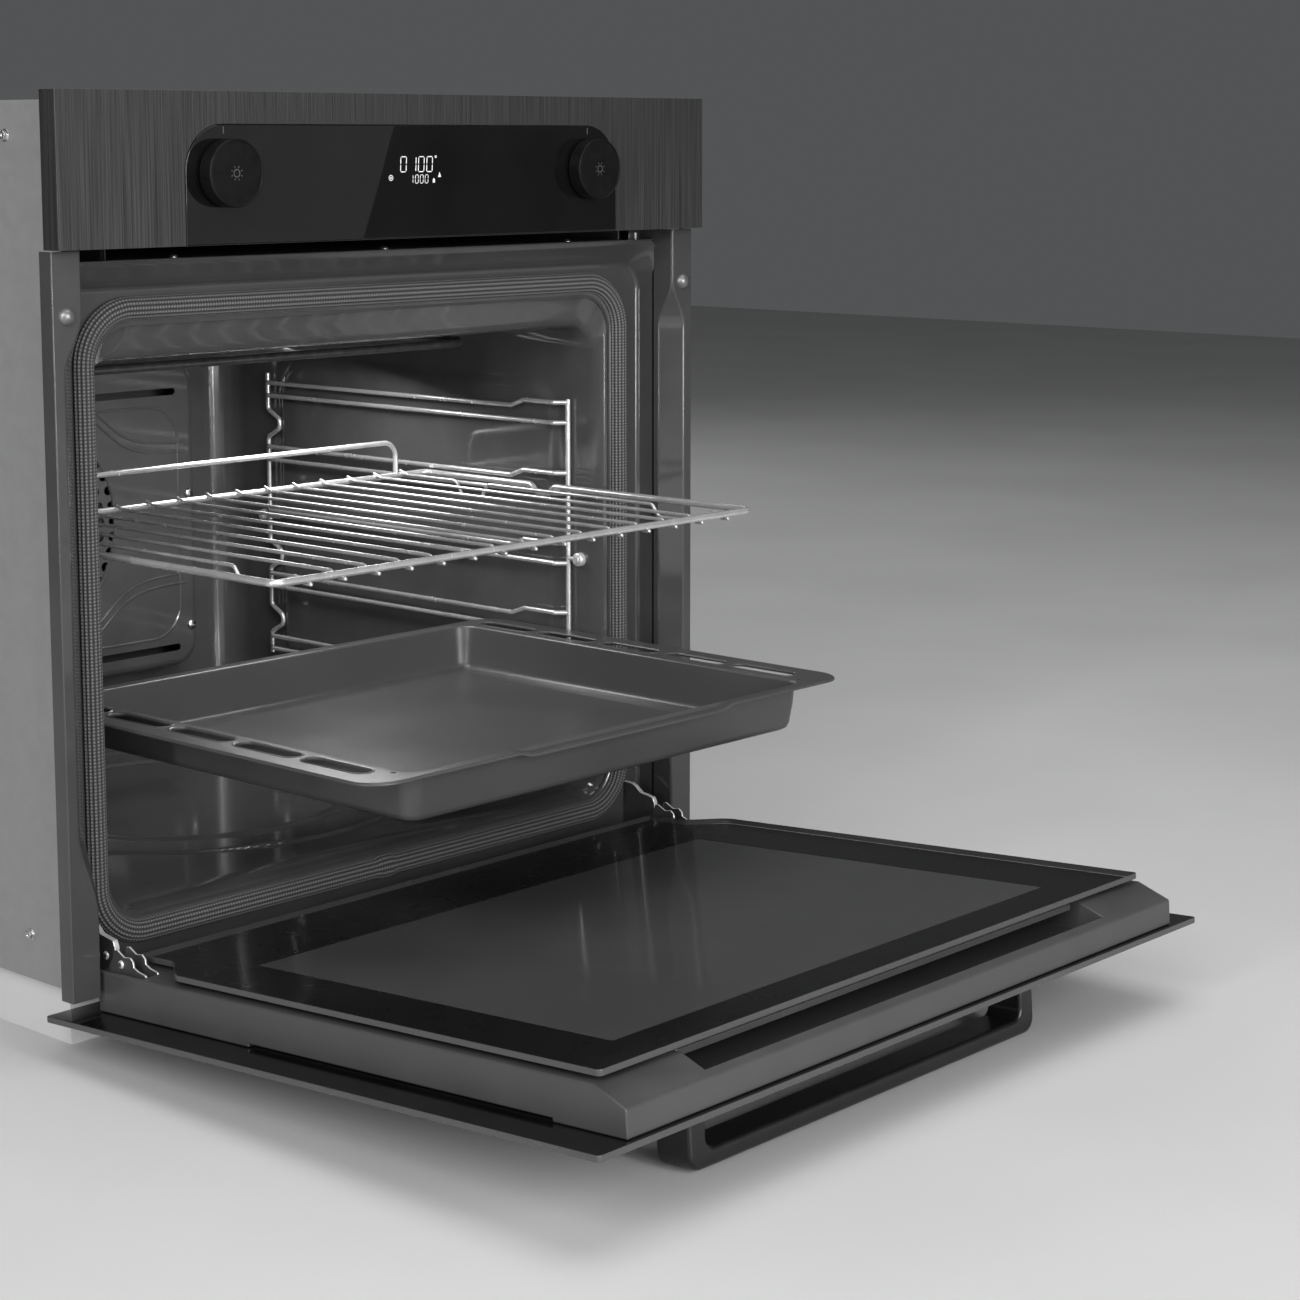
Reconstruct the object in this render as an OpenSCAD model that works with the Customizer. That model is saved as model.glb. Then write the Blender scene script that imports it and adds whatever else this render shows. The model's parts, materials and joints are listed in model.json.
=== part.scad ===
// Built-in wall oven, front 597 x 592 mm, drawn with its drop-down door open and the
// wire shelf and baking tray pulled out. Millimetres, +X right, +Y into the oven, +Z up.
// The origin is the centre of the underside of the base pan. Every housing part is drawn
// with Y = 0 on the front face of the control fascia and moved back into place.

/* [Front] */
// Width of the control fascia and of the door glass
front_w = 597; // [590:1:600]
// Height of the control fascia
fascia_h = 98; // [94:1:104]
// Radius of each control knob
knob_r = 22; // [19:0.5:24]
// Distance of each knob from the middle of the fascia
knob_x = 169.5; // [160:0.5:175]
// Number of fixing screws in the air outlet
outlet_screws = 3; // [2:1:6]

/* [Carcass] */
// Outer width of the carcass that slides into the cabinet
carcass_w = 558; // [556:1:559]
// Height of the carcass
carcass_h = 578; // [572:1:584]
// Depth from the fascia's front face to the back panel
depth = 556; // [550:1:570]

/* [Cavity] */
// Half width of the cooking cavity
cavity_hw = 238; // [236:0.5:240]
// Height of the cavity ceiling above the base
ceiling_z = 405; // [400:1:407]
// Number of shelf levels on each side rack
levels = 5; // [3:1:5]
// Height of the lowest shelf wire
first_level = 106; // [104:1:108]
// Distance from one shelf level to the next
level_pitch = 55.5; // [54:0.5:56]

/* [Door] */
// Angle of the open door from the vertical
door_open = 86.2; // [80:0.1:88]
// Height of the door glass
door_len = 490; // [484:1:494]
// Half length of the handle
handle_hw = 173; // [160:1:190]
// Reach of the handle in front of the glass
handle_reach = 52; // [45:1:60]

/* [Shelf and tray] */
// Number of thin wires across the wire shelf
shelf_wires = 15; // [9:2:17]
// Depth of the wire shelf
shelf_len = 353; // [330:1:356]
// Depth of the baking tray
tray_len = 365; // [350:1:370]
// Number of slots in each side flange of the tray
tray_slots = 5; // [3:1:5]

/* [Hidden] */
$fn = 48;
sheet = 1;
front_y = -301;
carcass_hw = carcass_w / 2;
front_hw = front_w / 2;
fascia_z = carcass_h - fascia_h;
pan_y = 46;
frame_y = 46;
ledge_z = fascia_z - 9.6;
return_x = 275;
trim_y = 10;
panel_y = 26;
screw_x = 287;
screw_z = 439;
knob_z = 526;
glass_r = 31;
hinge_y = 20.5;
hinge_z = 6;
door_z = -14;
hinge_x = 260;
handle_screw_x = handle_hw - 7.5;
handle_v = 427;
gasket_hw = 251;
gasket_z0 = 26.5;
gasket_z1 = 439.5;
gasket_bend = 36;
mouth_hw = 241;
mouth_z0 = 37;
mouth_z1 = 428;
throat_y = 62;
floor_z = 40;
base_element_z = 33;
element_r = 3.2;
ring_r = 88;
ring_lead_x = 40;
ring_lead_z = sqrt(ring_r ^ 2 - ring_lead_x ^ 2);
grill_z = ceiling_z - 13;
grill_hw = 150;
grill_return_x = -195;
lead_end = 530;
lamp_x = 120;
lamp_y = 400;
probe_x = -205;
probe_z = 385;
probe_r = 2.2;
liner_back = 506;
fan_z = 229;
blower_y = 242;
blower_z = 485;
shaft_r = 4;
rail_gap = 16;
rail_x = 227;
post_x = 233.8;
rail_front = 82;
rail_back = 441;
rail_r = 2;
shelf_level = 3;
shelf_hw = 226.5;
shelf_rod = 3;
shelf_front = -110.5;
shelf_pitch = 28.4;
tray_level = 1;
tray_hw = 228;
tray_front = -200;
tray_depth = 34;
knob_depth = 11.6;
knob_gap = 1.9;
spindle_r = 3;
fit = 0.05;
frame_in = 4.3;
frame_out = 31;
frame_hw = 272;
frame_wall = 1.5;
inner_w = 34;
glass_t = 4;

// ---- placing helpers ----
module in_housing() {
    translate([0, front_y, 0]) children();
}

// Door parts are drawn closed: Y is the depth from the glass face, Z the height up the door
module in_door() {
    in_housing() translate([0, hinge_y, hinge_z]) rotate([door_open, 0, 0])
        translate([0, -hinge_y, door_z - hinge_z]) children();
}

module both_sides() {
    children();
    mirror([1, 0, 0]) children();
}

// ---- shape helpers ----
module slab(x0, x1, y0, y1, z0, z1) {
    translate([x0, y0, z0]) cube([x1 - x0, y1 - y0, z1 - z0]);
}

module along_x(x0, x1) {
    translate([x0, 0, 0]) rotate([90, 0, 90]) linear_extrude(x1 - x0) children();
}

module along_y(y0, y1) {
    translate([0, y1, 0]) rotate([90, 0, 0]) linear_extrude(y1 - y0) children();
}

module bar_x(y, z, x0, x1, r) {
    translate([x0, y, z]) rotate([0, 90, 0]) cylinder(h = x1 - x0, r = r);
}

module bar_y(x, z, y0, y1, r) {
    translate([x, y0, z]) rotate([-90, 0, 0]) cylinder(h = y1 - y0, r = r);
}

module bar_z(x, y, z0, z1, r) {
    translate([x, y, z0]) cylinder(h = z1 - z0, r = r);
}

// Straight rod from point a to point b
module rod(a, b, r) {
    v = b - a;
    len = norm(v);
    translate(a) rotate([0, acos(v.z / len), atan2(v.y, v.x)]) cylinder(h = len, r = r);
}

module soft_rect(x0, x1, z0, z1, r) {
    translate([x0 + r, z0]) square([x1 - x0 - 2 * r, z1 - z0]);
    translate([x0, z0 + r]) square([x1 - x0, z1 - z0 - 2 * r]);
    for (x = [x0 + r, x1 - r], z = [z0 + r, z1 - r]) translate([x, z]) circle(r);
}

// Oblong slot outline, lying along X
module oblong(x0, x1, z, r) {
    translate([x0 + r, z - r]) square([x1 - x0 - 2 * r, 2 * r]);
    for (x = [x0 + r, x1 - r]) translate([x, z]) circle(r);
}

// ---- carcass ----
module base_pan() color("dimgray") in_housing() {
    hw = carcass_hw - sheet;
    slab(-hw, hw, pan_y, depth, 0, sheet);
    both_sides() slab(hw - sheet, hw, pan_y + sheet, depth, sheet, 18);
    slab(-hw, hw, depth - sheet, depth, sheet, 18);
}

module side_panel() {
    slab(carcass_hw - sheet, carcass_hw, panel_y, depth, 0, carcass_h - 6);
}

module side_panel_left() color("gray") in_housing() mirror([1, 0, 0]) side_panel();

module side_panel_right() color("gray") in_housing() side_panel();

module rear_panel() color("gray") in_housing() difference() {
    slab(-carcass_hw, carcass_hw, depth, depth + sheet, 0, carcass_h - 6);
    for (row = [0:4], side = [-1, 1]) along_y(depth - 1, depth + 3)
        translate([side * 190, 120 + row * 12]) oblong(-45, 45, 0, 2.5);
    bar_y(-210, 500, depth - 1, depth + 3, 9.5);
}

module top_panel() color("gray") in_housing() difference() {
    slab(-carcass_hw + sheet, carcass_hw - sheet, 32, depth,
        carcass_h - 6 - sheet, carcass_h - 6);
    for (row = [0:5], side = [-1, 1]) translate([side * 120, 330 + row * 14, 0])
        linear_extrude(carcass_h) oblong(-60, 60, 0, 3);
}

// ---- front of the housing ----
module frame_profile() {
    polygon([[frame_y, 2], [frame_y, 452], [29, ledge_z - 4], [29, ledge_z], [66, ledge_z],
        [66, ledge_z - sheet], [29 + sheet, ledge_z - sheet],
        [29 + sheet, ledge_z - 4 + 0.5], [frame_y + sheet, 452.5], [frame_y + sheet, 2]]);
}

module front_frame() color("dimgray") in_housing() difference() {
    along_x(-return_x, return_x) frame_profile();
    along_y(frame_y - 2, frame_y + 3)
        soft_rect(-mouth_hw, mouth_hw, mouth_z0, mouth_z1, 28);
    both_sides() slab(hinge_x - 4, hinge_x + 4, frame_y - 2, frame_y + 3, 4, 54);
}

// Plan of a side trim: return wall, bend cut off by the given chamfer, and screw flange
module trim_plan(chamfer) {
    back = trim_y + sheet;
    polygon([[return_x, frame_y], [return_x, trim_y + chamfer], [return_x + chamfer, trim_y],
        [front_hw - 1, trim_y], [front_hw - 1, back], [return_x + chamfer + 0.5, back],
        [return_x + sheet, trim_y + chamfer + 0.5], [return_x + sheet, frame_y]]);
}

// The bend is flattened over the middle of the trim's height and sharp at both ends
module side_trim() difference() {
    z0 = 2;
    z1 = 60;
    z2 = screw_z - 9;
    z3 = fascia_z - 1;
    union() {
        translate([0, 0, z0]) linear_extrude(z1 - z0) trim_plan(1);
        translate([0, 0, z1]) linear_extrude(z2 - z1) trim_plan(14);
        translate([0, 0, z2]) linear_extrude(z3 - z2) trim_plan(1);
    }
    bar_y(screw_x, screw_z, trim_y - 2, trim_y + 4, 2.75);
}

module side_trim_left() color("dimgray") in_housing() mirror([1, 0, 0]) side_trim();

module side_trim_right() color("dimgray") in_housing() side_trim();

// Hollow domes that hide the cabinet screws
module trim_screw_caps() color("silver") in_housing() both_sides()
    translate([screw_x, trim_y, screw_z]) rotate([90, 0, 0]) difference() {
        intersection() {
            translate([0, 0, -1.5]) sphere(r = 6.2);
            cylinder(h = 6, r = 6);
        }
        translate([0, 0, -1]) cylinder(h = 3.6, r = 3.4);
    }

// ---- controls ----
module glass_outline(grow) {
    hw = knob_x + glass_r;
    translate([-hw - grow, fascia_z - 1]) square([2 * (hw + grow), knob_z - fascia_z + 1]);
    translate([-knob_x, fascia_z + 4])
        square([2 * knob_x, knob_z - fascia_z - 4 + glass_r + grow]);
    for (x = [-knob_x, knob_x]) translate([x, knob_z]) circle(glass_r + grow);
}

module control_fascia() color("dimgray") in_housing() difference() {
    slab(-front_hw, front_hw, 0, 16, fascia_z, carcass_h);
    slab(-front_hw + 1.5, front_hw - 1.5, 2, 17, fascia_z + 1.5, carcass_h - 1.5);
    along_y(-1, 3) intersection() {
        glass_outline(0.3);
        translate([-front_hw, fascia_z + 1.5]) square([front_w, fascia_h]);
    }
}

module control_glass() color("black") in_housing() difference() {
    along_y(-0.6, 3.4) intersection() {
        glass_outline(0);
        translate([-front_hw, fascia_z + 1.8]) square([front_w, fascia_h]);
    }
    both_sides() bar_y(knob_x, knob_z, -2, 5, 5);
}

module fascia_carrier() color("black") in_housing() difference() {
    slab(-268, 268, 3.6, 6, fascia_z + 3, carcass_h - 5);
    both_sides() bar_y(knob_x, knob_z, 2, 8, 6);
    slab(-41, 41, 2, 8, 511, 547);
}

module display_module() color("darkslategray") in_housing() {
    slab(-40, 40, 3.8, 11, 512, 546);
    slab(-44, 44, 11, 12.6, 508, 550);
}

module control_board() color("darkgreen") in_housing() {
    slab(-140, 140, 22, 23.6, 492, 562);
    for (i = [0:3]) slab(-120 + i * 34, -98 + i * 34, 23.6, 30 - i % 2 * 2, 500, 524);
    slab(60, 110, 23.6, 29, 500, 550);
    for (i = [0:2]) bar_y(-100 + i * 26, 546, 23.6, 29, 6);
}

module control_chassis() color("gray") in_housing() {
    slab(-carcass_hw + sheet, carcass_hw - sheet, 30.6, 31.8, fascia_z + 2, carcass_h - 6);
    both_sides() slab(262, 266, 16.2, 30.6, fascia_z + 12, carcass_h - 12);
}

// Rotary encoder: threaded bush through the glass, hollow body behind it
module encoder(side) translate([side * knob_x, 0, knob_z]) difference() {
    union() {
        bar_y(0, 0, -0.4, 7, 4.8);
        slab(-9, 9, 6.1, 20, -9, 9);
    }
    bar_y(0, 0, -2, 9, spindle_r + fit);
    bar_y(0, 0, 9, 18.5, 6.2);
}

module encoder_left() color("silver") in_housing() encoder(-1);

module encoder_right() color("silver") in_housing() encoder(1);

// Push-switch collar that slides with the spindle but doesn't turn
module plunger(side) translate([side * knob_x, 0, knob_z]) difference() {
    bar_y(0, 0, 11.5, 16.4, 5.6);
    bar_y(0, 0, 11, 14.5, spindle_r + fit);
}

module plunger_left() color("white") in_housing() plunger(-1);

module plunger_right() color("white") in_housing() plunger(1);

module spindle(side) bar_y(side * knob_x, knob_z, -11, 14.3, spindle_r);

module spindle_left() color("silver") in_housing() spindle(-1);

module spindle_right() color("silver") in_housing() spindle(1);

module knob(side) translate([side * knob_x, -0.6 - knob_gap, knob_z]) difference() {
    bar_y(0, 0, -knob_depth, 0, knob_r);
    bar_y(0, 0, -9, 1, spindle_r);
    bar_y(0, 0, -3, 1, 8);
}

module knob_left() color("black") in_housing() knob(-1);

module knob_right() color("black") in_housing() knob(1);

// ---- cooling air ----
module air_outlet() color("black") in_housing() {
    hw = 240;
    slab(-hw, hw, 30, 198, ledge_z + 0.1, ledge_z + 1.1);
    slab(-hw, hw, 33, 198, fascia_z + 0.4, fascia_z + 1.4);
    both_sides() slab(hw - 1, hw, 33, 198, ledge_z + 1.1, fascia_z + 0.4);
}

module outlet_screws_set() color("silver") in_housing()
    for (i = [0:outlet_screws - 1])
        bar_z(-184.5 + i * 369 / (outlet_screws - 1), 36.5, ledge_z + 1.1, ledge_z + 3.4, 3.6);

module blower_housing() color("gray") in_housing() difference() {
    slab(-156, 156, 200, 284, 440, 530);
    slab(-154.5, 154.5, 201.5, 282.5, 441.5, 528.5);
    slab(-150, 150, 199, 203, ledge_z - 4, fascia_z + 2);
    slab(-150, 150, 215, 270, 527, 531);
    bar_x(blower_y, blower_z, 150, 160, 8);
    bar_x(blower_y, blower_z, -160, -150, shaft_r + fit);
}

module blower_rotor() color("silver") in_housing() {
    bar_x(blower_y, blower_z, -158, 170, shaft_r);
    for (x = [-148, -50, 48, 146]) bar_x(blower_y, blower_z, x, x + 2, 28);
    for (k = [0:11]) translate([-148, blower_y, blower_z]) rotate([k * 30, 0, 0])
        translate([0, 20, -0.4]) cube([296, 7.5, 0.8]);
}

module blower_motor() color("dimgray") in_housing() difference() {
    union() {
        slab(157, 196, 216, 268, 459, 511);
        bar_x(blower_y, blower_z, 196, 206, 12);
    }
    bar_x(blower_y, blower_z, 150, 172, shaft_r + fit);
}

// ---- cavity ----
// Cylinders along the heating leads and the probe, for the holes they pass through
module rear_leads(y0, y1, clearance) {
    r = element_r + clearance;
    for (x = [grill_return_x, grill_hw]) bar_y(x, grill_z, y0, y1, r);
    for (x = [-ring_lead_x, ring_lead_x]) bar_y(x, fan_z + ring_lead_z, y0, y1, r);
    bar_y(probe_x, probe_z, y0, y1, probe_r + clearance);
}

module cavity_liner() color("dimgray") in_housing() difference() {
    union() {
        along_y(throat_y, liner_back + sheet) soft_rect(-cavity_hw - sheet, cavity_hw + sheet,
            floor_z - sheet, ceiling_z + sheet, 20);
        along_y(frame_y + sheet, throat_y + sheet)
            soft_rect(-mouth_hw - sheet, mouth_hw + sheet, mouth_z0 - sheet,
                mouth_z1 + sheet, 28);
    }
    along_y(throat_y, liner_back) soft_rect(-cavity_hw, cavity_hw, floor_z, ceiling_z, 19);
    along_y(frame_y, throat_y) soft_rect(-mouth_hw, mouth_hw, mouth_z0, mouth_z1, 28);
    bar_y(0, fan_z, liner_back - 2, liner_back + 4, 14);
    bar_z(lamp_x, lamp_y, ceiling_z - 2, ceiling_z + 4, 25);
    rear_leads(liner_back - 2, liner_back + 4, 0.2);
}

module insulation() color("wheat") in_housing() difference() {
    slab(-272, 272, 70, 522, 22, 430);
    slab(-243.5, 243.5, 69, liner_back + sheet + 0.3, base_element_z - 4, 410);
    bar_y(0, fan_z, 500, 530, 40);
    bar_z(lamp_x, lamp_y, 405, 435, 34);
    rear_leads(500, 530, 1.8);
    for (x = [-120, 120]) bar_y(x, base_element_z, 500, 530, 5);
}

module gasket_section() {
    translate([-4, -3.4]) square([8, 6.8]);
    for (x = [-4, 4]) translate([x, 0]) circle(3.4);
}

module door_gasket() color("gray") in_housing() {
    y = frame_y - 3.5;
    x = gasket_hw - gasket_bend;
    for (z = [gasket_z0, gasket_z1]) translate([-x, y, z]) rotate([90, 90, 90])
        linear_extrude(2 * x) gasket_section();
    for (side = [-1, 1]) translate([side * gasket_hw, y, gasket_z0 + gasket_bend])
        linear_extrude(gasket_z1 - gasket_z0 - 2 * gasket_bend) gasket_section();
    for (sx = [0, 1], sz = [0, 1]) mirror([sx, 0, 0])
        translate([x, y, sz == 0 ? gasket_z0 + gasket_bend : gasket_z1 - gasket_bend])
            rotate([90, sz == 0 ? 90 : 0, 0]) rotate_extrude(angle = 90)
                translate([gasket_bend, 0]) gasket_section();
}

module fan_cover() color("dimgray") in_housing() difference() {
    along_y(474, liner_back) soft_rect(-178, 178, 94, 363, 22);
    along_y(475.2, liner_back + 1) soft_rect(-176.8, 176.8, 95.2, 361.8, 21);
    for (ring = [1:6], k = [0:ring * 6 - 1]) bar_y(ring * 14 * cos(k * 60 / ring),
        fan_z + ring * 14 * sin(k * 60 / ring), 472, 477, 4);
    for (z = [112, 334]) along_y(472, 477) oblong(-157, 157, z, 3);
    for (x = [-169, 169], z = [130, 245]) bar_y(x, z, 472, 477, 2.2);
}

module fan_cover_screws() color("silver") in_housing()
    for (x = [-169, 169], z = [130, 245]) {
        bar_y(x, z, 471.6, 474, 4.5);
        bar_y(x, z, 474, 484, 2.1);
    }

module fan_impeller() color("silver") in_housing() {
    bar_y(0, fan_z, 502, 503.2, 74);
    bar_y(0, fan_z, 484, 502, 10);
    bar_y(0, fan_z, 503.2, 540, shaft_r);
    for (k = [0:11]) translate([0, 482, fan_z]) rotate([0, k * 30, 0])
        translate([38, 0, -0.6]) cube([34, 20.5, 1.2]);
}

module fan_motor() color("silver") in_housing() difference() {
    union() {
        slab(-70, 70, 523, 524.4, fan_z - 30, fan_z + 30);
        slab(-32, 32, 524.4, 546, fan_z - 26, fan_z + 26);
        bar_y(0, fan_z, 546, 552, 12);
    }
    bar_y(0, fan_z, 520, 542, shaft_r + fit);
}

// Round heating coil around the fan wheel
module ring_element() color("dimgray") in_housing() {
    translate([0, 492, fan_z]) rotate([90, 0, 0]) rotate_extrude()
        translate([ring_r, 0]) circle(element_r);
    for (x = [-ring_lead_x, ring_lead_x])
        bar_y(x, fan_z + ring_lead_z, 492, lead_end, element_r);
}

// Serpentine grill coil under the ceiling
module grill_element() color("dimgray") in_housing() {
    y0 = 130;
    pitch = 60;
    runs = 5;
    for (i = [0:runs - 1]) bar_x(y0 + i * pitch, grill_z, -grill_hw, grill_hw, element_r);
    for (i = [0:runs - 2]) {
        side = i % 2 == 0 ? 1 : -1;
        translate([side * grill_hw, y0 + (i + 0.5) * pitch, grill_z])
            rotate([0, 0, -side * 90]) rotate_extrude(angle = 180)
                translate([pitch / 2, 0]) circle(element_r);
    }
    bar_y(grill_hw, grill_z, y0 + (runs - 1) * pitch, lead_end, element_r);
    bar_x(y0, grill_z, grill_return_x, -grill_hw, element_r);
    bar_y(grill_return_x, grill_z, y0, lead_end, element_r);
}

module base_element() color("dimgray") in_housing() {
    for (x = [-120, 120]) bar_y(x, base_element_z, 160, lead_end, element_r);
    bar_x(160, base_element_z, -120, 120, element_r);
}

module lamp_holder() color("white") in_housing() difference() {
    bar_z(lamp_x, lamp_y, ceiling_z + sheet + 0.2, 446, 30);
    bar_z(lamp_x, lamp_y, ceiling_z, 440, 22);
}

module lamp_lens() color("lightyellow") in_housing() difference() {
    union() {
        bar_z(lamp_x, lamp_y, ceiling_z - 7, ceiling_z, 30);
        bar_z(lamp_x, lamp_y, ceiling_z, 412, 21.8);
    }
    bar_z(lamp_x, lamp_y, ceiling_z - 4, 413, 18);
}

module temperature_probe() color("silver") in_housing() {
    bar_y(probe_x, probe_z, 430, 525, probe_r);
}

// Side rack: two posts and a pair of wires for each level
module rack() {
    z0 = first_level - 5;
    z1 = first_level + (levels - 1) * level_pitch + rail_gap + 2;
    for (y = [rail_front, rail_back]) bar_z(post_x, y, z0, z1, 2.1);
    for (i = [0:levels - 1], up = [0, rail_gap]) {
        z = first_level + i * level_pitch + up;
        bar_y(rail_x, z, rail_front + 8, rail_back - 8, rail_r);
        rod([post_x, rail_front, z], [rail_x, rail_front + 9, z], rail_r);
        rod([post_x, rail_back, z], [rail_x, rail_back - 9, z], rail_r);
    }
}

module rack_left() color("silver") in_housing() mirror([1, 0, 0]) rack();

module rack_right() color("silver") in_housing() rack();

module rack_nuts() color("silver") in_housing()
    for (side = [-1, 1], y = [rail_front - 9, rail_back + 10])
        translate([side * 237.9, y, 221]) rotate([0, -side * 90, 0]) cylinder(h = 9, r = 5.5);

// ---- supply ----
module terminal_box() color("black") in_housing() difference() {
    union() {
        slab(-245, -175, 520, depth - 0.1, 470, 530);
        bar_y(-210, 500, depth - 0.1, depth + 11, 9.4);
    }
    bar_y(-210, 500, depth - 12, depth + 12, 5);
}

// ---- door hinges ----
module hinge_receivers() color("gray") in_housing() both_sides() difference() {
    slab(hinge_x - 8, hinge_x + 8, frame_y + sheet, 69.5, 3, 64);
    slab(hinge_x - 2.2, hinge_x + 2.2, frame_y, 68, 2, 56);
}

module arm_outline() difference() {
    union() {
        translate([hinge_y, hinge_z]) circle(8);
        polygon([[13.5, 10], [26, 31], [40, 37], [47, 46], [66, 46], [66, 16], [46, 8],
            [24, -1]]);
    }
    translate([hinge_y, hinge_z]) circle(3 + fit);
}

module hinge_arms() color("silver") in_housing() both_sides()
    along_x(hinge_x - 2, hinge_x + 2) arm_outline();

module cheek_outline() {
    translate([hinge_y, hinge_z - door_z]) circle(8);
    polygon([[12.5, 20], [12.5, 160], [30, 160], [30, 62], [41, 50], [41, 42], [28, 20]]);
}

module hinge_cassettes() color("silver") in_door() both_sides() difference() {
    union() {
        for (x = [hinge_x - 5.5, hinge_x + 4]) along_x(x, x + 1.5) cheek_outline();
        slab(hinge_x - 4, hinge_x + 4, 12.5, 28, 66, 160);
    }
    bar_x(hinge_y, hinge_z - door_z, hinge_x - 8, hinge_x + 8, 3);
}

module hinge_pins() color("gray") in_door() both_sides()
    bar_x(hinge_y, hinge_z - door_z, hinge_x - 5.5, hinge_x + 5.5, 3);

// ---- door ----
module door_outer_glass() color("black") in_door() difference() {
    along_y(0, glass_t) soft_rect(-front_hw, front_hw, 0, door_len, 3);
    both_sides() bar_y(handle_screw_x, handle_v, -1, 6, 4);
}

module door_frame() color("dimgray") in_door() difference() {
    back = frame_out - frame_wall;
    slab(-frame_hw, frame_hw, frame_in, frame_out, 22, 486);
    // window opening
    slab(-213, 213, frame_in - 1, frame_out + 1, 104, 424);
    // hollows of the bars, open towards the outer glass
    slab(-246, 246, frame_in - 1, back, 24, 102);
    both_sides() slab(215, 246, frame_in - 1, back, 101, 170);
    both_sides() slab(215, 266, frame_in - 1, back, 165, 455);
    both_sides() along_x(202, 266) polygon([[frame_in - 1, 426], [back, 426], [back, 462],
        [20.5, 484], [frame_in - 1, 484]]);
    slab(-198, 198, frame_in - 1, 11.5, 426, 484);
    // chamfer along the upper edge
    along_x(-frame_hw - 1, frame_hw + 1) polygon([[21, 487], [32, 487], [32, 461.5]]);
    // air channel between the two corner blocks
    slab(-200, 200, 13, frame_out + 1, 423, 479);
    // side recess next to the outer glass
    both_sides() slab(frame_hw - 5, frame_hw + 1, frame_in - 1, 6.4, 172, 430);
    // pockets for the hinges
    both_sides() slab(hinge_x - 8, hinge_x + 8, 10, frame_out + 1, 20, 64.5);
    both_sides() slab(hinge_x - 7, hinge_x + 7, 10, 30.2, 60, 162);
    // handle screws
    both_sides() bar_y(handle_screw_x, handle_v, 3, 14, 6);
}

module door_middle_glass() color("darkgray") in_door()
    along_y(26, 30) soft_rect(-199, 199, 110, 456, 3);

module inner_glass_outline() difference() {
    soft_rect(-268, 268, 34, 464, 3);
    both_sides() {
        translate([247, 30]) square([30, 57.5]);
        translate([257.5, 80]) square([30, 18]);
        translate([257.5, 87.5]) circle(10.5);
    }
}

module door_inner_glass() color("darkgray") in_door()
    along_y(inner_w, inner_w + glass_t) inner_glass_outline();

module glass_spacers() color("black") in_door() both_sides() {
    for (v = [120, 440]) slab(238, 258, frame_out, inner_w, v - 9, v + 9);
    for (v = [118, 404]) slab(199.2, 212.8, 24, 31.5, v, v + 12);
}

module handle_outline() difference() {
    soft_rect(-handle_hw, handle_hw, -handle_reach, 12, 10);
    soft_rect(-handle_hw + 15, handle_hw - 15, -handle_reach + 11, 20, 7);
    translate([-handle_hw - 1, 0]) square([2 * handle_hw + 2, 30]);
}

// The U outline lies in X and depth, and is as wide as the grip up the door
module door_handle() color("black") in_door() difference() {
    translate([0, 0, 413.5]) linear_extrude(27) handle_outline();
    both_sides() bar_y(handle_screw_x, handle_v, -22, 1, 2.1);
}

module handle_screws() color("silver") in_door() both_sides() {
    bar_y(handle_screw_x, handle_v, -18, 4, 2);
    bar_y(handle_screw_x, handle_v, 4, 7, 5);
}

// ---- accessories ----
module wire_shelf() color("silver") in_housing() {
    z = first_level + shelf_level * level_pitch + rail_r + 0.3 + shelf_rod;
    y0 = shelf_front;
    y1 = shelf_front + shelf_len - 2 * shelf_rod;
    last = (shelf_wires - 1) / 2;
    both_sides() rod([shelf_hw, y0, z], [shelf_hw, y1, z], shelf_rod);
    for (y = [y0, y1]) rod([-shelf_hw, y, z], [shelf_hw, y, z], shelf_rod);
    for (x = [-1, 1], y = [y0, y1]) translate([x * shelf_hw, y, z]) sphere(r = shelf_rod);
    for (i = [-last:last]) bar_y(i * shelf_pitch, z, y0 - 3, y1 + 1, 1.8);
    both_sides() bar_z(193, y1, z, z + 27, 2.6);
    bar_x(y1, z + 27, -193, 193, 2.6);
    both_sides() translate([193, y1, z + 27]) sphere(r = 2.6);
}

// Round-cornered tub that narrows by slope on each side from height z1 down to z0
module tray_tub(hw, y0, y1, z0, z1, slope) {
    mid = (y0 + y1) / 2;
    half = (y1 - y0) / 2;
    top_r = 22;
    low_r = 18;
    hull() for (sx = [-1, 1], sy = [-1, 1]) {
        translate([sx * (hw - top_r), mid + sy * (half - top_r), z1])
            cylinder(h = 0.1, r = top_r, $fn = 32);
        translate([sx * (hw - top_r - slope), mid + sy * (half - top_r - slope), z0])
            cylinder(h = 0.1, r = low_r, $fn = 32);
    }
}

module baking_tray() color("dimgray") in_housing() {
    top = first_level + tray_level * level_pitch + rail_r + 0.3;
    y1 = tray_front + tray_len;
    difference() {
        union() {
            translate([0, 0, top]) linear_extrude(1.2) difference() {
                soft_rect(-tray_hw, tray_hw, tray_front, y1, 22);
                for (x = [-tray_hw + 23, tray_hw - 23], i = [0:tray_slots - 1])
                    translate([x, tray_front + 59 + i * 65.5]) rotate(90) oblong(-29, 29, 0, 7);
            }
            tray_tub(191, tray_front + 9, y1 - 8, top + 1.1 - tray_depth, top + 1.1, 6);
        }
        tray_tub(190, tray_front + 10, y1 - 9, top + 2.1 - tray_depth, top + 1.2, 6);
    }
}

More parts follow.
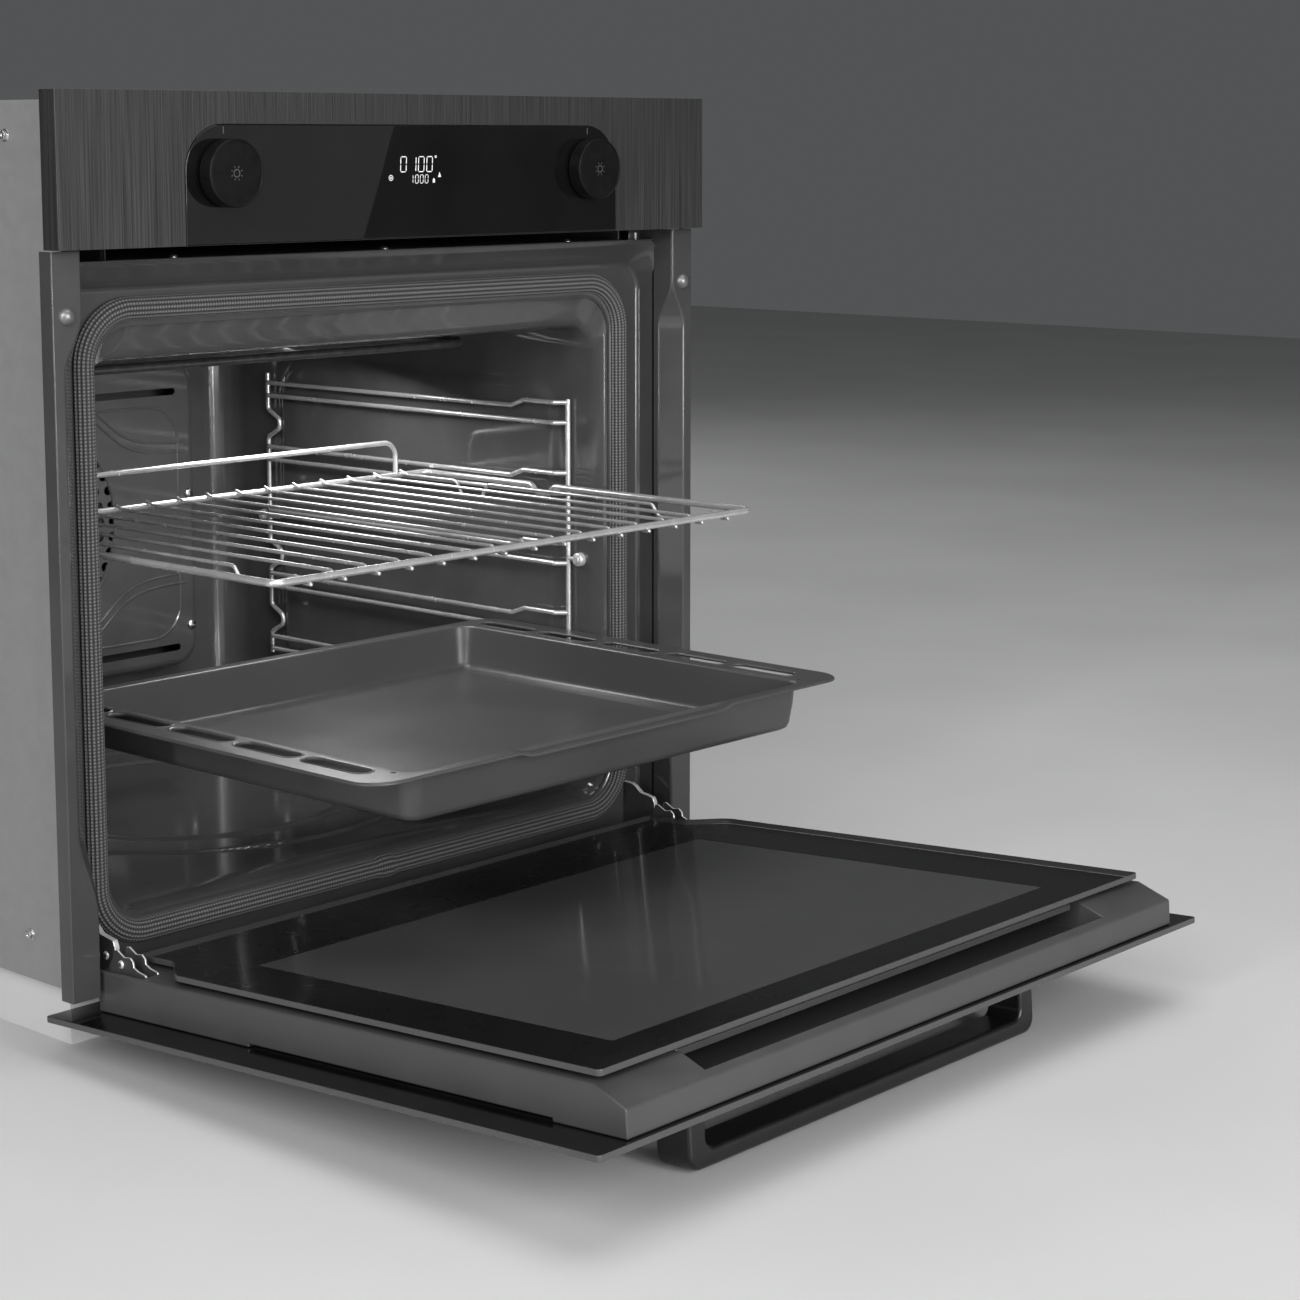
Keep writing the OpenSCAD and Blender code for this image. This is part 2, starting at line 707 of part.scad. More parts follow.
base_pan();
side_panel_left();
side_panel_right();
rear_panel();
top_panel();
front_frame();
side_trim_left();
side_trim_right();
trim_screw_caps();
control_fascia();
control_glass();
fascia_carrier();
display_module();
control_board();
control_chassis();
encoder_left();
encoder_right();
plunger_left();
plunger_right();
spindle_left();
spindle_right();
knob_left();
knob_right();
air_outlet();
outlet_screws_set();
blower_housing();
blower_motor();
blower_rotor();
cavity_liner();
insulation();
door_gasket();
fan_cover();
fan_cover_screws();
fan_impeller();
fan_motor();
ring_element();
grill_element();
base_element();
lamp_holder();
lamp_lens();
temperature_probe();
rack_left();
rack_right();
rack_nuts();
terminal_box();
hinge_receivers();
hinge_arms();
hinge_cassettes();
hinge_pins();
door_outer_glass();
door_frame();
door_middle_glass();
door_inner_glass();
glass_spacers();
door_handle();
handle_screws();
wire_shelf();
baking_tray();
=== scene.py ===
import json
import math

import bmesh
import bpy
from mathutils import Matrix, Vector


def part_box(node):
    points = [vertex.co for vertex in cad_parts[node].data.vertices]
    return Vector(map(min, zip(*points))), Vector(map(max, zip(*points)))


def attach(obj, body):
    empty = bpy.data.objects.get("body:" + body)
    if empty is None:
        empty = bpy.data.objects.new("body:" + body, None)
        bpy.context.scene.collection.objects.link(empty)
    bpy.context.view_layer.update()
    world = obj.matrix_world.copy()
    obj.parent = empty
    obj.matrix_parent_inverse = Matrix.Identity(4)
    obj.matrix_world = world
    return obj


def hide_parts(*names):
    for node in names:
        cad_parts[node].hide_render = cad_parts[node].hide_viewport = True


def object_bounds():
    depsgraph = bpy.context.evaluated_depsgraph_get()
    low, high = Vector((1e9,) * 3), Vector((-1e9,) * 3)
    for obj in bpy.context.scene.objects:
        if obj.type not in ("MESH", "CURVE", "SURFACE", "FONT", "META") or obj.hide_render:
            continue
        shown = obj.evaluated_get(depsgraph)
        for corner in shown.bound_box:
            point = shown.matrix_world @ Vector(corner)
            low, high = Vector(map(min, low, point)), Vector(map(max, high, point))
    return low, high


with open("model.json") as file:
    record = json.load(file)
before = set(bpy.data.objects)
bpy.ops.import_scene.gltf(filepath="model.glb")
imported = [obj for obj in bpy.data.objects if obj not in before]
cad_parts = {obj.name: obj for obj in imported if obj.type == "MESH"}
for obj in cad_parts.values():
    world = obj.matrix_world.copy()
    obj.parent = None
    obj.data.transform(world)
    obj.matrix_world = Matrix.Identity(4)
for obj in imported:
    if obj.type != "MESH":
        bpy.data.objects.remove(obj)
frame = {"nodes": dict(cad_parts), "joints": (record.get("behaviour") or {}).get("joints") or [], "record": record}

cad_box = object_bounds()
scene = bpy.context.scene

# ---- frame: housing millimetres, and closed-door millimetres, to row metres ----
MM = 0.001
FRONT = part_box("control_fascia")[0].y
HINGE = next(j for j in frame["joints"] if j["name"] == "door_hinge")
PIVOT = Vector(HINGE["pos_m"])
DOOR_DROP = -0.020
HOUSING = Matrix.Translation((0, FRONT, 0)) @ Matrix.Scale(MM, 4)
DOOR = (Matrix.Translation(PIVOT)
        @ Matrix.Rotation(math.radians(HINGE["range_deg"][1]), 4, "X")
        @ Matrix.Translation((0, FRONT - PIVOT.y, DOOR_DROP)) @ Matrix.Scale(MM, 4))


# ---- numbers and outlines ----
def smooth(a, b, x):
    """0 before a, 1 after b, and a smooth step between them"""
    t = min(1.0, max(0.0, (x - a) / (b - a)))
    return t * t * (3 - 2 * t)


def ridge(d, width):
    """A rounded ridge: 1 at distance 0 and 0 beyond width"""
    return 1 - smooth(0, width, abs(d))


def soft(x0, x1, z0, z1, r, steps=6):
    """Rounded rectangle outline, anticlockwise from the lower right corner"""
    out = []
    for cx, cz, turn in ((x1 - r, z0 + r, -90), (x1 - r, z1 - r, 0),
                         (x0 + r, z1 - r, 90), (x0 + r, z0 + r, 180)):
        for k in range(steps + 1):
            a = math.radians(turn + 90 * k / steps)
            out.append((cx + r * math.cos(a), cz + r * math.sin(a)))
    return out


def arc(cx, cz, r, a0, a1, steps=12):
    """Points on an arc, in degrees from a0 to a1"""
    angles = [math.radians(a0 + (a1 - a0) * k / steps) for k in range(steps + 1)]
    return [(cx + r * math.cos(a), cz + r * math.sin(a)) for a in angles]


def circle(cx, cz, r, steps=24):
    return arc(cx, cz, r, 0, 360, steps)[:-1]


def soft_distance(x, z, cx, cz, hx, hz, r):
    """Signed distance to a rounded rectangle, below 0 inside"""
    qx, qz = abs(x - cx) - hx + r, abs(z - cz) - hz + r
    return math.hypot(max(qx, 0), max(qz, 0)) + min(max(qx, qz), 0) - r


# ---- mesh helpers, all in millimetres ----
def box(bm, x0, x1, y0, y1, z0, z1):
    size = Matrix.Diagonal((x1 - x0, y1 - y0, z1 - z0, 1))
    middle = Matrix.Translation(((x0 + x1) / 2, (y0 + y1) / 2, (z0 + z1) / 2))
    bmesh.ops.create_cube(bm, size=1, matrix=middle @ size)
    return bm


def prism(bm, points, x0, x1):
    """Solid along X between x0 and x1 from a convex or concave outline in Y and Z"""
    ends = [[bm.verts.new((x, y, z)) for y, z in points] for x in (x0, x1)]
    bm.faces.new(ends[0][::-1])
    bm.faces.new(ends[1])
    skin(bm, ends, True)
    return bm


def skin(bm, rings, closed):
    """Quads between neighbouring rings of vertices"""
    faces = []
    for a, b in zip(rings, rings[1:]):
        for i in range(len(a) if closed else len(a) - 1):
            j = (i + 1) % len(a)
            faces.append(bm.faces.new((a[i], a[j], b[j], b[i])))
    return faces


def loft(bm, rings, closed=True):
    return skin(bm, [[bm.verts.new(p) for p in ring] for ring in rings], closed)


def loft_open(rings):
    """A new surface through the rings, open along their ends"""
    bm = bmesh.new()
    loft(bm, rings, closed=False)
    return bm


def fillet(points, radius, closed=False, steps=5):
    """The path with each corner turned into an arc"""
    out = []
    for i, p in enumerate(points):
        if not closed and i in (0, len(points) - 1):
            out.append(p)
            continue
        a, b = points[i - 1], points[(i + 1) % len(points)]
        u, v = (a - p).normalized(), (b - p).normalized()
        angle = u.angle(v)
        if angle > 3.1:
            out.append(p)
            continue
        cut = min(radius / math.tan(angle / 2), 0.48 * (a - p).length, 0.48 * (b - p).length)
        centre = p + (u + v).normalized() * (cut / math.cos(angle / 2))
        s, e = p + u * cut - centre, p + v * cut - centre
        turn = s.normalized().angle(e.normalized())
        for k in range(steps + 1):
            f = k / steps
            out.append(centre + (s * math.sin((1 - f) * turn) + e * math.sin(f * turn))
                       / math.sin(turn))
    return out


def tube(bm, points, r, bend=0.0, closed=False, sides=10, steps=5):
    """Round wire along a path, with rounded ends"""
    path = [Vector(p) for p in points]
    if bend:
        path = fillet(path, bend, closed, steps)
    rings, normal, count = [], None, len(path)
    for i, p in enumerate(path):
        ahead = path[(i + 1) % count] if closed or i < count - 1 else p
        behind = path[i - 1] if closed or i > 0 else p
        t = (ahead - behind).normalized()
        normal = t.orthogonal() if normal is None else normal - t * normal.dot(t)
        normal.normalize()
        other = t.cross(normal)
        spots = [(0, 1)]
        if not closed and i == 0:
            spots = [(-0.5, 0.35), (-0.4, 0.75), (-0.2, 0.93), (0, 1)]
        if not closed and i == count - 1:
            spots = [(0, 1), (0.2, 0.93), (0.4, 0.75), (0.5, 0.35)]
        for along, across in spots:
            centre = p + t * (along * r)
            rings.append([bm.verts.new(centre + (normal * math.cos(a) + other * math.sin(a))
                                       * r * across)
                          for a in (2 * math.pi * k / sides for k in range(sides))])
    if closed:
        rings.append(rings[0])
    skin(bm, rings, True)
    if not closed:
        bm.faces.new(rings[0][::-1])
        bm.faces.new(rings[-1])
    return bm


def lathe(bm, profile, centre, axis=(0, -1, 0), sides=40):
    """Turns pairs of radius and height about an axis through centre"""
    up = Vector(axis).normalized()
    u = up.orthogonal().normalized()
    v = up.cross(u)
    rings = []
    for r, h in profile:
        rings.append([bm.verts.new(Vector(centre) + up * h
                                   + (u * math.cos(a) + v * math.sin(a)) * max(r, 0.01))
                      for a in (2 * math.pi * k / sides for k in range(sides))])
    skin(bm, rings, True)
    for ring in (rings[0], rings[-1]):
        bm.faces.new(ring)
    return bm


def from_object(obj):
    """The evaluated mesh of a scratch object as a bmesh, and the object removed"""
    mesh = bpy.data.meshes.new_from_object(obj.evaluated_get(
        bpy.context.evaluated_depsgraph_get()))
    bpy.data.objects.remove(obj)
    bm = bmesh.new()
    bm.from_mesh(mesh)
    bpy.data.meshes.remove(mesh)
    return bm


def plate(outlines, depth, bevel=0.0, y=0.0, resolution=1):
    """Solid from Y=y to y+depth with an outline and its holes in X and Z"""
    curve = bpy.data.curves.new("scratch", "CURVE")
    curve.dimensions = "2D"
    curve.fill_mode = "BOTH"
    for points in outlines:
        spline = curve.splines.new("POLY")
        spline.points.add(len(points) - 1)
        for q, (x, z) in zip(spline.points, points):
            q.co = (x, z, 0, 1)
        spline.use_cyclic_u = True
    curve.extrude = depth / 2 - bevel
    curve.bevel_depth = bevel
    curve.offset = -bevel
    curve.bevel_resolution = resolution
    obj = bpy.data.objects.new("scratch", curve)
    scene.collection.objects.link(obj)
    bm = from_object(obj)
    bpy.data.curves.remove(curve)
    bmesh.ops.remove_doubles(bm, verts=bm.verts, dist=0.001)
    turn = Matrix(((1, 0, 0, 0), (0, 0, -1, y + depth / 2), (0, 1, 0, 0), (0, 0, 0, 1)))
    bmesh.ops.transform(bm, matrix=turn, verts=bm.verts)
    return bm


def scratch(bm):
    mesh = bpy.data.meshes.new("scratch")
    bmesh.ops.recalc_face_normals(bm, faces=bm.faces)
    bm.to_mesh(mesh)
    bm.free()
    obj = bpy.data.objects.new("scratch", mesh)
    scene.collection.objects.link(obj)
    return obj


def carve(bm, cutters, thick=0.0):
    """bm, thickened if asked, with each cutter's volume taken away"""
    obj = scratch(bm)
    if thick:
        wall = obj.modifiers.new("wall", "SOLIDIFY")
        wall.thickness, wall.offset = thick, 0
    tools = [scratch(c) for c in cutters]
    for tool in tools:
        cut = obj.modifiers.new("cut", "BOOLEAN")
        cut.operation, cut.solver, cut.object = "DIFFERENCE", "EXACT", tool
    out = from_object(obj)
    for tool in tools:
        bpy.data.objects.remove(tool)
    return out


def merge(*parts):
    """One bmesh holding all the parts"""
    whole = bmesh.new()
    for part in parts:
        mesh = bpy.data.meshes.new("scratch")
        part.to_mesh(mesh)
        part.free()
        whole.from_mesh(mesh)
        bpy.data.meshes.remove(mesh)
    return whole


def mirrored(make):
    """make(side) for the right side and the left side, as one bmesh"""
    return merge(make(1), make(-1))


def moved(bm, matrix):
    bmesh.ops.transform(bm, matrix=matrix, verts=bm.verts)
    return bm


def add(name, bm, body, material, nodes=(), place=HOUSING, sharp=35, bevel=0.0,
        segments=2, fix=True, thick=0.0, edge=None, flat=(0, 1, 0)):
    """Makes a piece from a bmesh, in its place and riding on its body"""
    bmesh.ops.transform(bm, matrix=place, verts=bm.verts)
    if fix:
        bmesh.ops.recalc_face_normals(bm, faces=bm.faces)
    mesh = bpy.data.meshes.new(name)
    mesh.materials.append(material)
    if edge:
        mesh.materials.append(edge)
        flat_way = (place.to_3x3() @ Vector(flat)).normalized()
        for face in bm.faces:
            face.material_index = 0 if abs(face.normal.dot(flat_way)) > 0.95 else 1
    bm.to_mesh(mesh)
    bm.free()
    mesh.shade_smooth()
    mesh.set_sharp_from_angle(angle=math.radians(sharp))
    obj = bpy.data.objects.new(name, mesh)
    scene.collection.objects.link(obj)
    if thick:
        wall = obj.modifiers.new("wall", "SOLIDIFY")
        wall.thickness, wall.offset = abs(thick) * MM, -1 if thick > 0 else 1
    if bevel:
        rounding = obj.modifiers.new("edges", "BEVEL")
        rounding.width, rounding.segments = bevel * MM, segments
        rounding.limit_method, rounding.angle_limit = "ANGLE", math.radians(sharp)
    obj.modifiers.new("shading", "WEIGHTED_NORMAL").keep_sharp = True
    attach(obj, body)
    if nodes:
        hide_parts(*nodes)
    return obj


# ---- materials ----
def finish(name, dark, light, rough, metal=0.0, scale=40.0, stretch=(1, 1, 1), bump=0.02,
           fine=900.0, alpha=1.0, tint=(1, 1, 1), emit=0.0, detail=5.0, spec=0.5):
    """A surface whose colour, roughness and relief vary with noise in the row frame"""
    material = bpy.data.materials.new(name)
    material.use_nodes = True
    nodes, links = material.node_tree.nodes, material.node_tree.links
    shader = nodes["Principled BSDF"]
    place = nodes.new("ShaderNodeTexCoord")
    mapping = nodes.new("ShaderNodeMapping")
    mapping.inputs["Scale"].default_value = stretch
    links.new(place.outputs["Object"], mapping.inputs["Vector"])
    noise = nodes.new("ShaderNodeTexNoise")
    noise.inputs["Scale"].default_value = scale
    noise.inputs["Detail"].default_value = detail
    links.new(mapping.outputs["Vector"], noise.inputs["Vector"])
    ramp = nodes.new("ShaderNodeValToRGB")
    ramp.color_ramp.elements[0].position = 0.3
    ramp.color_ramp.elements[1].position = 0.7
    ramp.color_ramp.elements[0].color = (*(dark * c for c in tint), 1)
    ramp.color_ramp.elements[1].color = (*(light * c for c in tint), 1)
    links.new(noise.outputs["Fac"], ramp.inputs["Fac"])
    links.new(ramp.outputs["Color"], shader.inputs["Base Color"])
    gloss = nodes.new("ShaderNodeMapRange")
    gloss.inputs["From Min"].default_value = 0.3
    gloss.inputs["From Max"].default_value = 0.7
    gloss.inputs["To Min"].default_value = rough[0]
    gloss.inputs["To Max"].default_value = rough[1]
    links.new(noise.outputs["Fac"], gloss.inputs["Value"])
    links.new(gloss.outputs["Result"], shader.inputs["Roughness"])
    grain = nodes.new("ShaderNodeTexNoise")
    grain.inputs["Scale"].default_value = fine
    grain.inputs["Detail"].default_value = 2.0
    links.new(mapping.outputs["Vector"], grain.inputs["Vector"])
    relief = nodes.new("ShaderNodeBump")
    relief.inputs["Strength"].default_value = bump
    relief.inputs["Distance"].default_value = 0.0004
    links.new(grain.outputs["Fac"], relief.inputs["Height"])
    links.new(relief.outputs["Normal"], shader.inputs["Normal"])
    shader.inputs["Metallic"].default_value = metal
    shader.inputs["Specular IOR Level"].default_value = spec
    shader.inputs["Alpha"].default_value = alpha
    if emit:
        links.new(ramp.outputs["Color"], shader.inputs["Emission Color"])
        shader.inputs["Emission Strength"].default_value = emit
    return material


enamel = finish("front_enamel", 0.04, 0.047, (0.07, 0.11), scale=25, bump=0.01, fine=1500)
dark_enamel = finish("cavity_enamel", 0.052, 0.062, (0.08, 0.12), scale=30, bump=0.01, fine=1300)
tray_paint = finish("tray_enamel", 0.045, 0.052, (0.3, 0.38), scale=9, bump=0.08, fine=1100)
door_paint = finish("door_paint", 0.046, 0.052, (0.36, 0.44), scale=30, bump=0.1, fine=1400)
brushed = finish("fascia_metal", 0.024, 0.06, (0.3, 0.45), metal=0.5, scale=1.0,
                 stretch=(1100, 900, 9), bump=0.25, fine=1.0, detail=3)
black_glass = finish("black_glass", 0.003, 0.005, (0.008, 0.014), scale=20, bump=0.0)
print_black = finish("glass_print", 0.004, 0.006, (0.25, 0.35), scale=60, spec=0.2)
tinted = finish("tinted_glass", 0.014, 0.018, (0.07, 0.1), scale=12, bump=0.0, alpha=0.32,
                spec=0.5)
# grey window glass tint, made light as a painted reflection so the door window looks lighter than its printed
# border
window_glass_painted_reflection = finish("coated_glass_painted_reflection", 0.24, 0.27, (0.1, 0.14), scale=12, bump=0.0, alpha=0.85,
                    spec=0.3)
edge_glass = finish("glass_edge", 0.05, 0.06, (0.22, 0.28), scale=12, bump=0.0)
knob_black = finish("knob_finish", 0.003, 0.005, (0.4, 0.46), scale=120, bump=0.04, spec=0.12)
handle_black = finish("handle_finish", 0.007, 0.01, (0.28, 0.36), scale=60, bump=0.06, fine=1600)
chrome = finish("chrome_wire", 0.55, 0.65, (0.2, 0.28), metal=0.7, scale=90)
nickel = finish("polished_steel", 0.6, 0.7, (0.2, 0.28), metal=0.55, scale=70, bump=0.01)
# dark copy of the hinge steel: painted shade for the flat sides of the hinge plates
hinge_painted_shade = finish("hinge_painted_shade", 0.05, 0.07, (0.3, 0.4), metal=0.3, scale=60, bump=0.05)
satin = finish("satin_nickel", 0.14, 0.18, (0.3, 0.38), metal=0.6, scale=90, bump=0.04)
steel = finish("bright_steel", 0.5, 0.62, (0.2, 0.32), metal=1.0, scale=200, bump=0.05)
plastic = finish("black_plastic", 0.016, 0.024, (0.45, 0.6), scale=90, bump=0.15, fine=2200)
zinc = finish("zinc_sheet", 0.28, 0.305, (0.52, 0.56), metal=0.5, scale=90, bump=0.02, detail=6)
display = finish("display_plastic", 0.02, 0.03, (0.08, 0.12), scale=60, bump=0.0)
board = finish("circuit_board", 0.05, 0.09, (0.4, 0.5), scale=300, bump=0.2, tint=(0.3, 1.6, 0.6))
white = finish("white_plastic", 0.7, 0.8, (0.4, 0.5), scale=80, bump=0.05, tint=(1, 1, 0.97))
aluminium = finish("fan_aluminium", 0.5, 0.65, (0.3, 0.42), metal=1.0, scale=60, bump=0.05)
motor = finish("motor_steel", 0.2, 0.32, (0.4, 0.55), metal=0.5, scale=400, stretch=(1, 3, 1),
               bump=0.2)
element = finish("element_steel", 0.02, 0.05, (0.45, 0.55), metal=0.3, scale=120, bump=0.1)
wool = finish("mineral_wool", 0.35, 0.62, (0.9, 1.0), scale=220, bump=0.9, fine=700,
              tint=(1, 0.93, 0.66))
ceramic = finish("lamp_ceramic", 0.66, 0.78, (0.3, 0.42), scale=100, bump=0.1,
                 tint=(1, 0.99, 0.95))
lens = finish("clear_glass", 0.75, 0.9, (0.05, 0.1), scale=60, bump=0.05, alpha=0.45)
glow = finish("display_glow", 0.5, 0.7, (0.5, 0.6), scale=400, emit=0.4, bump=0.0)
mark_grey = finish("printed_mark", 0.045, 0.06, (0.5, 0.6), scale=400, bump=0.0)


SEAL_RIBS, SEAL_GIRTH, STITCH = 7, 21.0, 2.3
RIB = SEAL_GIRTH / SEAL_RIBS
WAVE_UNIT = 2 * math.pi / 20  # the wave texture's scale for a period of 1


def woven():
    """Glass-fibre braid: ribs along the seal and fine stitches across them, from its UV in mm"""
    material = finish("woven_gasket", 0.10, 0.17, (0.75, 0.9), scale=500, bump=0.3, fine=1600)
    nodes, links = material.node_tree.nodes, material.node_tree.links
    shader = nodes["Principled BSDF"]
    uv = nodes.new("ShaderNodeTexCoord")
    weave = []
    for direction, period in (("Y", RIB), ("X", STITCH)):
        wave = nodes.new("ShaderNodeTexWave")
        wave.bands_direction = direction
        wave.inputs["Scale"].default_value = WAVE_UNIT / period
        wave.inputs["Distortion"].default_value = 0.3
        wave.inputs["Detail"].default_value = 1.0
        links.new(uv.outputs["UV"], wave.inputs["Vector"])
        weave.append(wave)
    across = nodes.new("ShaderNodeMath")
    across.operation = "MULTIPLY_ADD"
    across.inputs[1].default_value, across.inputs[2].default_value = 0.8, 0.2
    links.new(weave[1].outputs["Fac"], across.inputs[0])
    mix = nodes.new("ShaderNodeMath")
    mix.operation = "MULTIPLY"
    links.new(weave[0].outputs["Fac"], mix.inputs[0])
    links.new(across.outputs[0], mix.inputs[1])
    ramp = nodes.new("ShaderNodeValToRGB")
    ramp.color_ramp.elements[0].color = (0.014, 0.014, 0.014, 1)
    ramp.color_ramp.elements[1].color = (0.17, 0.17, 0.17, 1)
    links.new(mix.outputs[0], ramp.inputs["Fac"])
    links.new(ramp.outputs["Color"], shader.inputs["Base Color"])
    relief = nodes.new("ShaderNodeBump")
    relief.inputs["Strength"].default_value = 0.7
    relief.inputs["Distance"].default_value = 0.0006
    links.new(mix.outputs[0], relief.inputs["Height"])
    links.new(relief.outputs["Normal"], shader.inputs["Normal"])
    return material


braid = woven()

# ---- control fascia ----
KNOB_X, KNOB_Z, GLASS_R = 169.5, 526, 31
FASCIA_Z, TOP_Z, FRONT_HW = 480, 578, 298.5


def glass_outline(grow, bottom):
    hw = KNOB_X + GLASS_R + grow
    return ([(-hw, bottom), (hw, bottom)] + arc(KNOB_X, KNOB_Z, GLASS_R + grow, 0, 90, 16)
            + arc(-KNOB_X, KNOB_Z, GLASS_R + grow, 90, 180, 16))


shell = carve(box(bmesh.new(), -FRONT_HW, FRONT_HW, 0, 16, FASCIA_Z, TOP_Z),
              [box(bmesh.new(), -FRONT_HW + 1.5, FRONT_HW - 1.5, 2, 18,
                   FASCIA_Z + 1.5, TOP_Z - 1.5),
               plate([glass_outline(0.3, FASCIA_Z + 0.4)], 5, y=-2)])
add("fascia_shell", shell, "root", brushed, ["control_fascia"], bevel=0.7,
    segments=3)
add("fascia_glass", plate([glass_outline(0, FASCIA_Z + 0.7)], 4, 0.5, y=-0.6, resolution=2),
    "root", black_glass, ["control_glass"])

GLASS_Y, MARK_DEPTH = -0.66, 0.06


def mark(*outlines, y=GLASS_Y):
    """Thin printed or lit mark on the control glass"""
    return plate(outlines, MARK_DEPTH, y=y)


def segments_of(digit):
    return {"0": "abcdef", "1": "bc", "2": "abged"}[digit]


def digit(parts, char, x, z, w, h, t):
    """Seven-segment digit made of six-sided bars, w wide and h high"""
    lean = 0.06
    spots = {"a": (0.5, 1, 0), "d": (0.5, 0, 0), "g": (0.5, 0.5, 0), "b": (1, 0.75, 1),
             "c": (1, 0.25, 1), "f": (0, 0.75, 1), "e": (0, 0.25, 1)}
    for name in segments_of(char):
        fx, fz, upright = spots[name]
        half = (h / 4 if upright else w / 2) - t * 0.55
        cx, cz = x + fx * w, z + fz * h
        bar = [(-half, 0), (-half + t / 2, -t / 2), (half - t / 2, -t / 2), (half, 0),
               (half - t / 2, t / 2), (-half + t / 2, t / 2)]
        bar = [(b, a) for a, b in bar] if upright else bar
        parts.append(mark([(cx + a + lean * (cz + b - z), cz + b) for a, b in bar]))


lit = []
for k, (char, x) in enumerate((("0", -16.2), ("1", -7.2), ("0", 0.4), ("0", 8.2))):
    digit(lit, char, x, 525.4, 5.2, 10.2, 0.62)
for char, x in (("1", -7.6), ("0", -2.6), ("0", 2.0), ("0", 6.6)):
    digit(lit, char, x, 517.6, 2.8, 5.6, 0.42)
lit.append(mark(circle(17.0, 535.6, 0.9, 12), circle(17.0, 535.6, 0.45, 12)))
lit.append(mark(circle(-25, 521.4, 2.0, 16), circle(-25, 521.4, 1.5, 16)))
lit.append(mark(circle(-25, 521.4, 0.7, 12)))
lit.append(mark([(19, 521.6), (22, 521.6), (20.5, 525)]))
lit.append(mark([(14, 517.8), (16, 517.8), (16, 520), (15, 521), (14, 520)]))
add("display_digits", merge(*lit), "root", glow)
marks = merge(*(mark(soft(s * KNOB_X - 0.4, s * KNOB_X + 0.4, 551, 555.7, 0.35, 3))
                for s in (-1, 1)))
add("index_marks", marks, "root", mark_grey)

KNOB_PROFILE = [(0, 13.4), (20.0, 13.4), (20.3, 13.2), (20.6, 13.2), (20.8, 13.6),
                (21.2, 13.75), (21.7, 13.6), (21.95, 13.2), (22, 12.5), (22, 3.6),
                (21.7, 2.9), (21.0, 2.6), (8, 2.6), (7.6, 5.5), (0, 5.5)]
ICON_Y, RAYS = -13.45, 8
RAY = [(3.6, -0.25), (4.9, -0.25), (4.9, 0.25), (3.6, 0.25)]
for side, body in ((-1, "knob_left"), (1, "knob_right")):
    centre = (side * KNOB_X, 0, KNOB_Z)
    add(body + "_cap", lathe(bmesh.new(), KNOB_PROFILE, centre, sides=96), body,
        knob_black, [body], sharp=50)
    icon = [mark(circle(centre[0], KNOB_Z, 2.7), circle(centre[0], KNOB_Z, 2.1), y=ICON_Y)]
    for k in range(RAYS):
        a = 2 * math.pi * (k + 0.5) / RAYS
        u, v = Vector((math.cos(a), math.sin(a))), Vector((-math.sin(a), math.cos(a)))
        m = Vector((centre[0], KNOB_Z))
        icon.append(mark([tuple(m + u * p + v * q) for p, q in RAY], y=ICON_Y))
    add(body + "_icon", merge(*icon), body, mark_grey)

# ---- front frame and side trims ----
LEDGE_Z, PLATE_Y, PLATE_TOP, RETURN_X = 470.4, 46, 452, 275
FRAME_R = 22
CORNER_X, CORNER_Z = RETURN_X - FRAME_R, PLATE_TOP - FRAME_R
mouth = soft(-241, 241, 37, 428, 28, 10)
plate_line = ([(-268, 2), (268, 2)] + arc(CORNER_X, CORNER_Z, FRAME_R - 7, 0, 90, 10)
              + arc(-CORNER_X, CORNER_Z, FRAME_R - 7, 90, 180, 10))
flat = plate([plate_line, mouth], 1.0, y=PLATE_Y)
bmesh.ops.delete(flat, geom=[f for f in flat.faces if abs(f.normal.y) < 0.5],
                 context="FACES_ONLY")


def rim_line(x, z, turn):
    """Section of the drawn rim where it leaves the front plate at a corner angle"""
    out = Vector((math.cos(turn), 0, math.sin(turn)))
    flare = 14.5 * smooth(0, math.pi / 2, turn)
    square = min(FRAME_R / max(out.x, 1e-6), (LEDGE_Z - CORNER_Z) / max(out.z, 1e-6))
    wide = min(FRAME_R + flare, square)
    far = Vector((x, 29, z)) + out * (square if turn > 0.01 else FRAME_R)
    base = Vector((x, 0, z))
    line = [base + out * (FRAME_R - 7) + Vector((0, PLATE_Y, 0)),
            base + out * (FRAME_R - 0.3 * (1 - smooth(0, 1, turn))) + Vector((0, PLATE_Y, 0)),
            base + out * wide + Vector((0, 30.5, 0)), far]
    bent = fillet(line[:3], 6, steps=6)[:-1]
    return bent + [line[2], line[3] if turn > 0.01 else line[2] - Vector((0, 1.5, 0))]


half_rim = [rim_line(CORNER_X, z, 0) for z in (2, 100, 200, 300, 400, CORNER_Z)]
half_rim += [rim_line(CORNER_X, CORNER_Z, math.radians(5 * k)) for k in range(1, 19)]
half_rim += [rim_line(x, CORNER_Z, math.pi / 2) for x in (200, 150, 100, 50, 0)]
rim = loft_open(half_rim + [[Vector((-p.x, p.y, p.z)) for p in line]
                            for line in half_rim[-2::-1]])
ledge = loft_open([[(x, 29, 470.1), (x, 29.3, 470.35), (x, 30, LEDGE_Z), (x, 66, LEDGE_Z)]
                   for x in [-274.6 + 549.2 * k / 12 for k in range(13)]])
add("front_frame_plate", merge(flat, rim), "root", enamel, ["front_frame"],
    fix=False, sharp=50)
add("front_frame_ledge", ledge, "root", enamel, thick=-0.9)


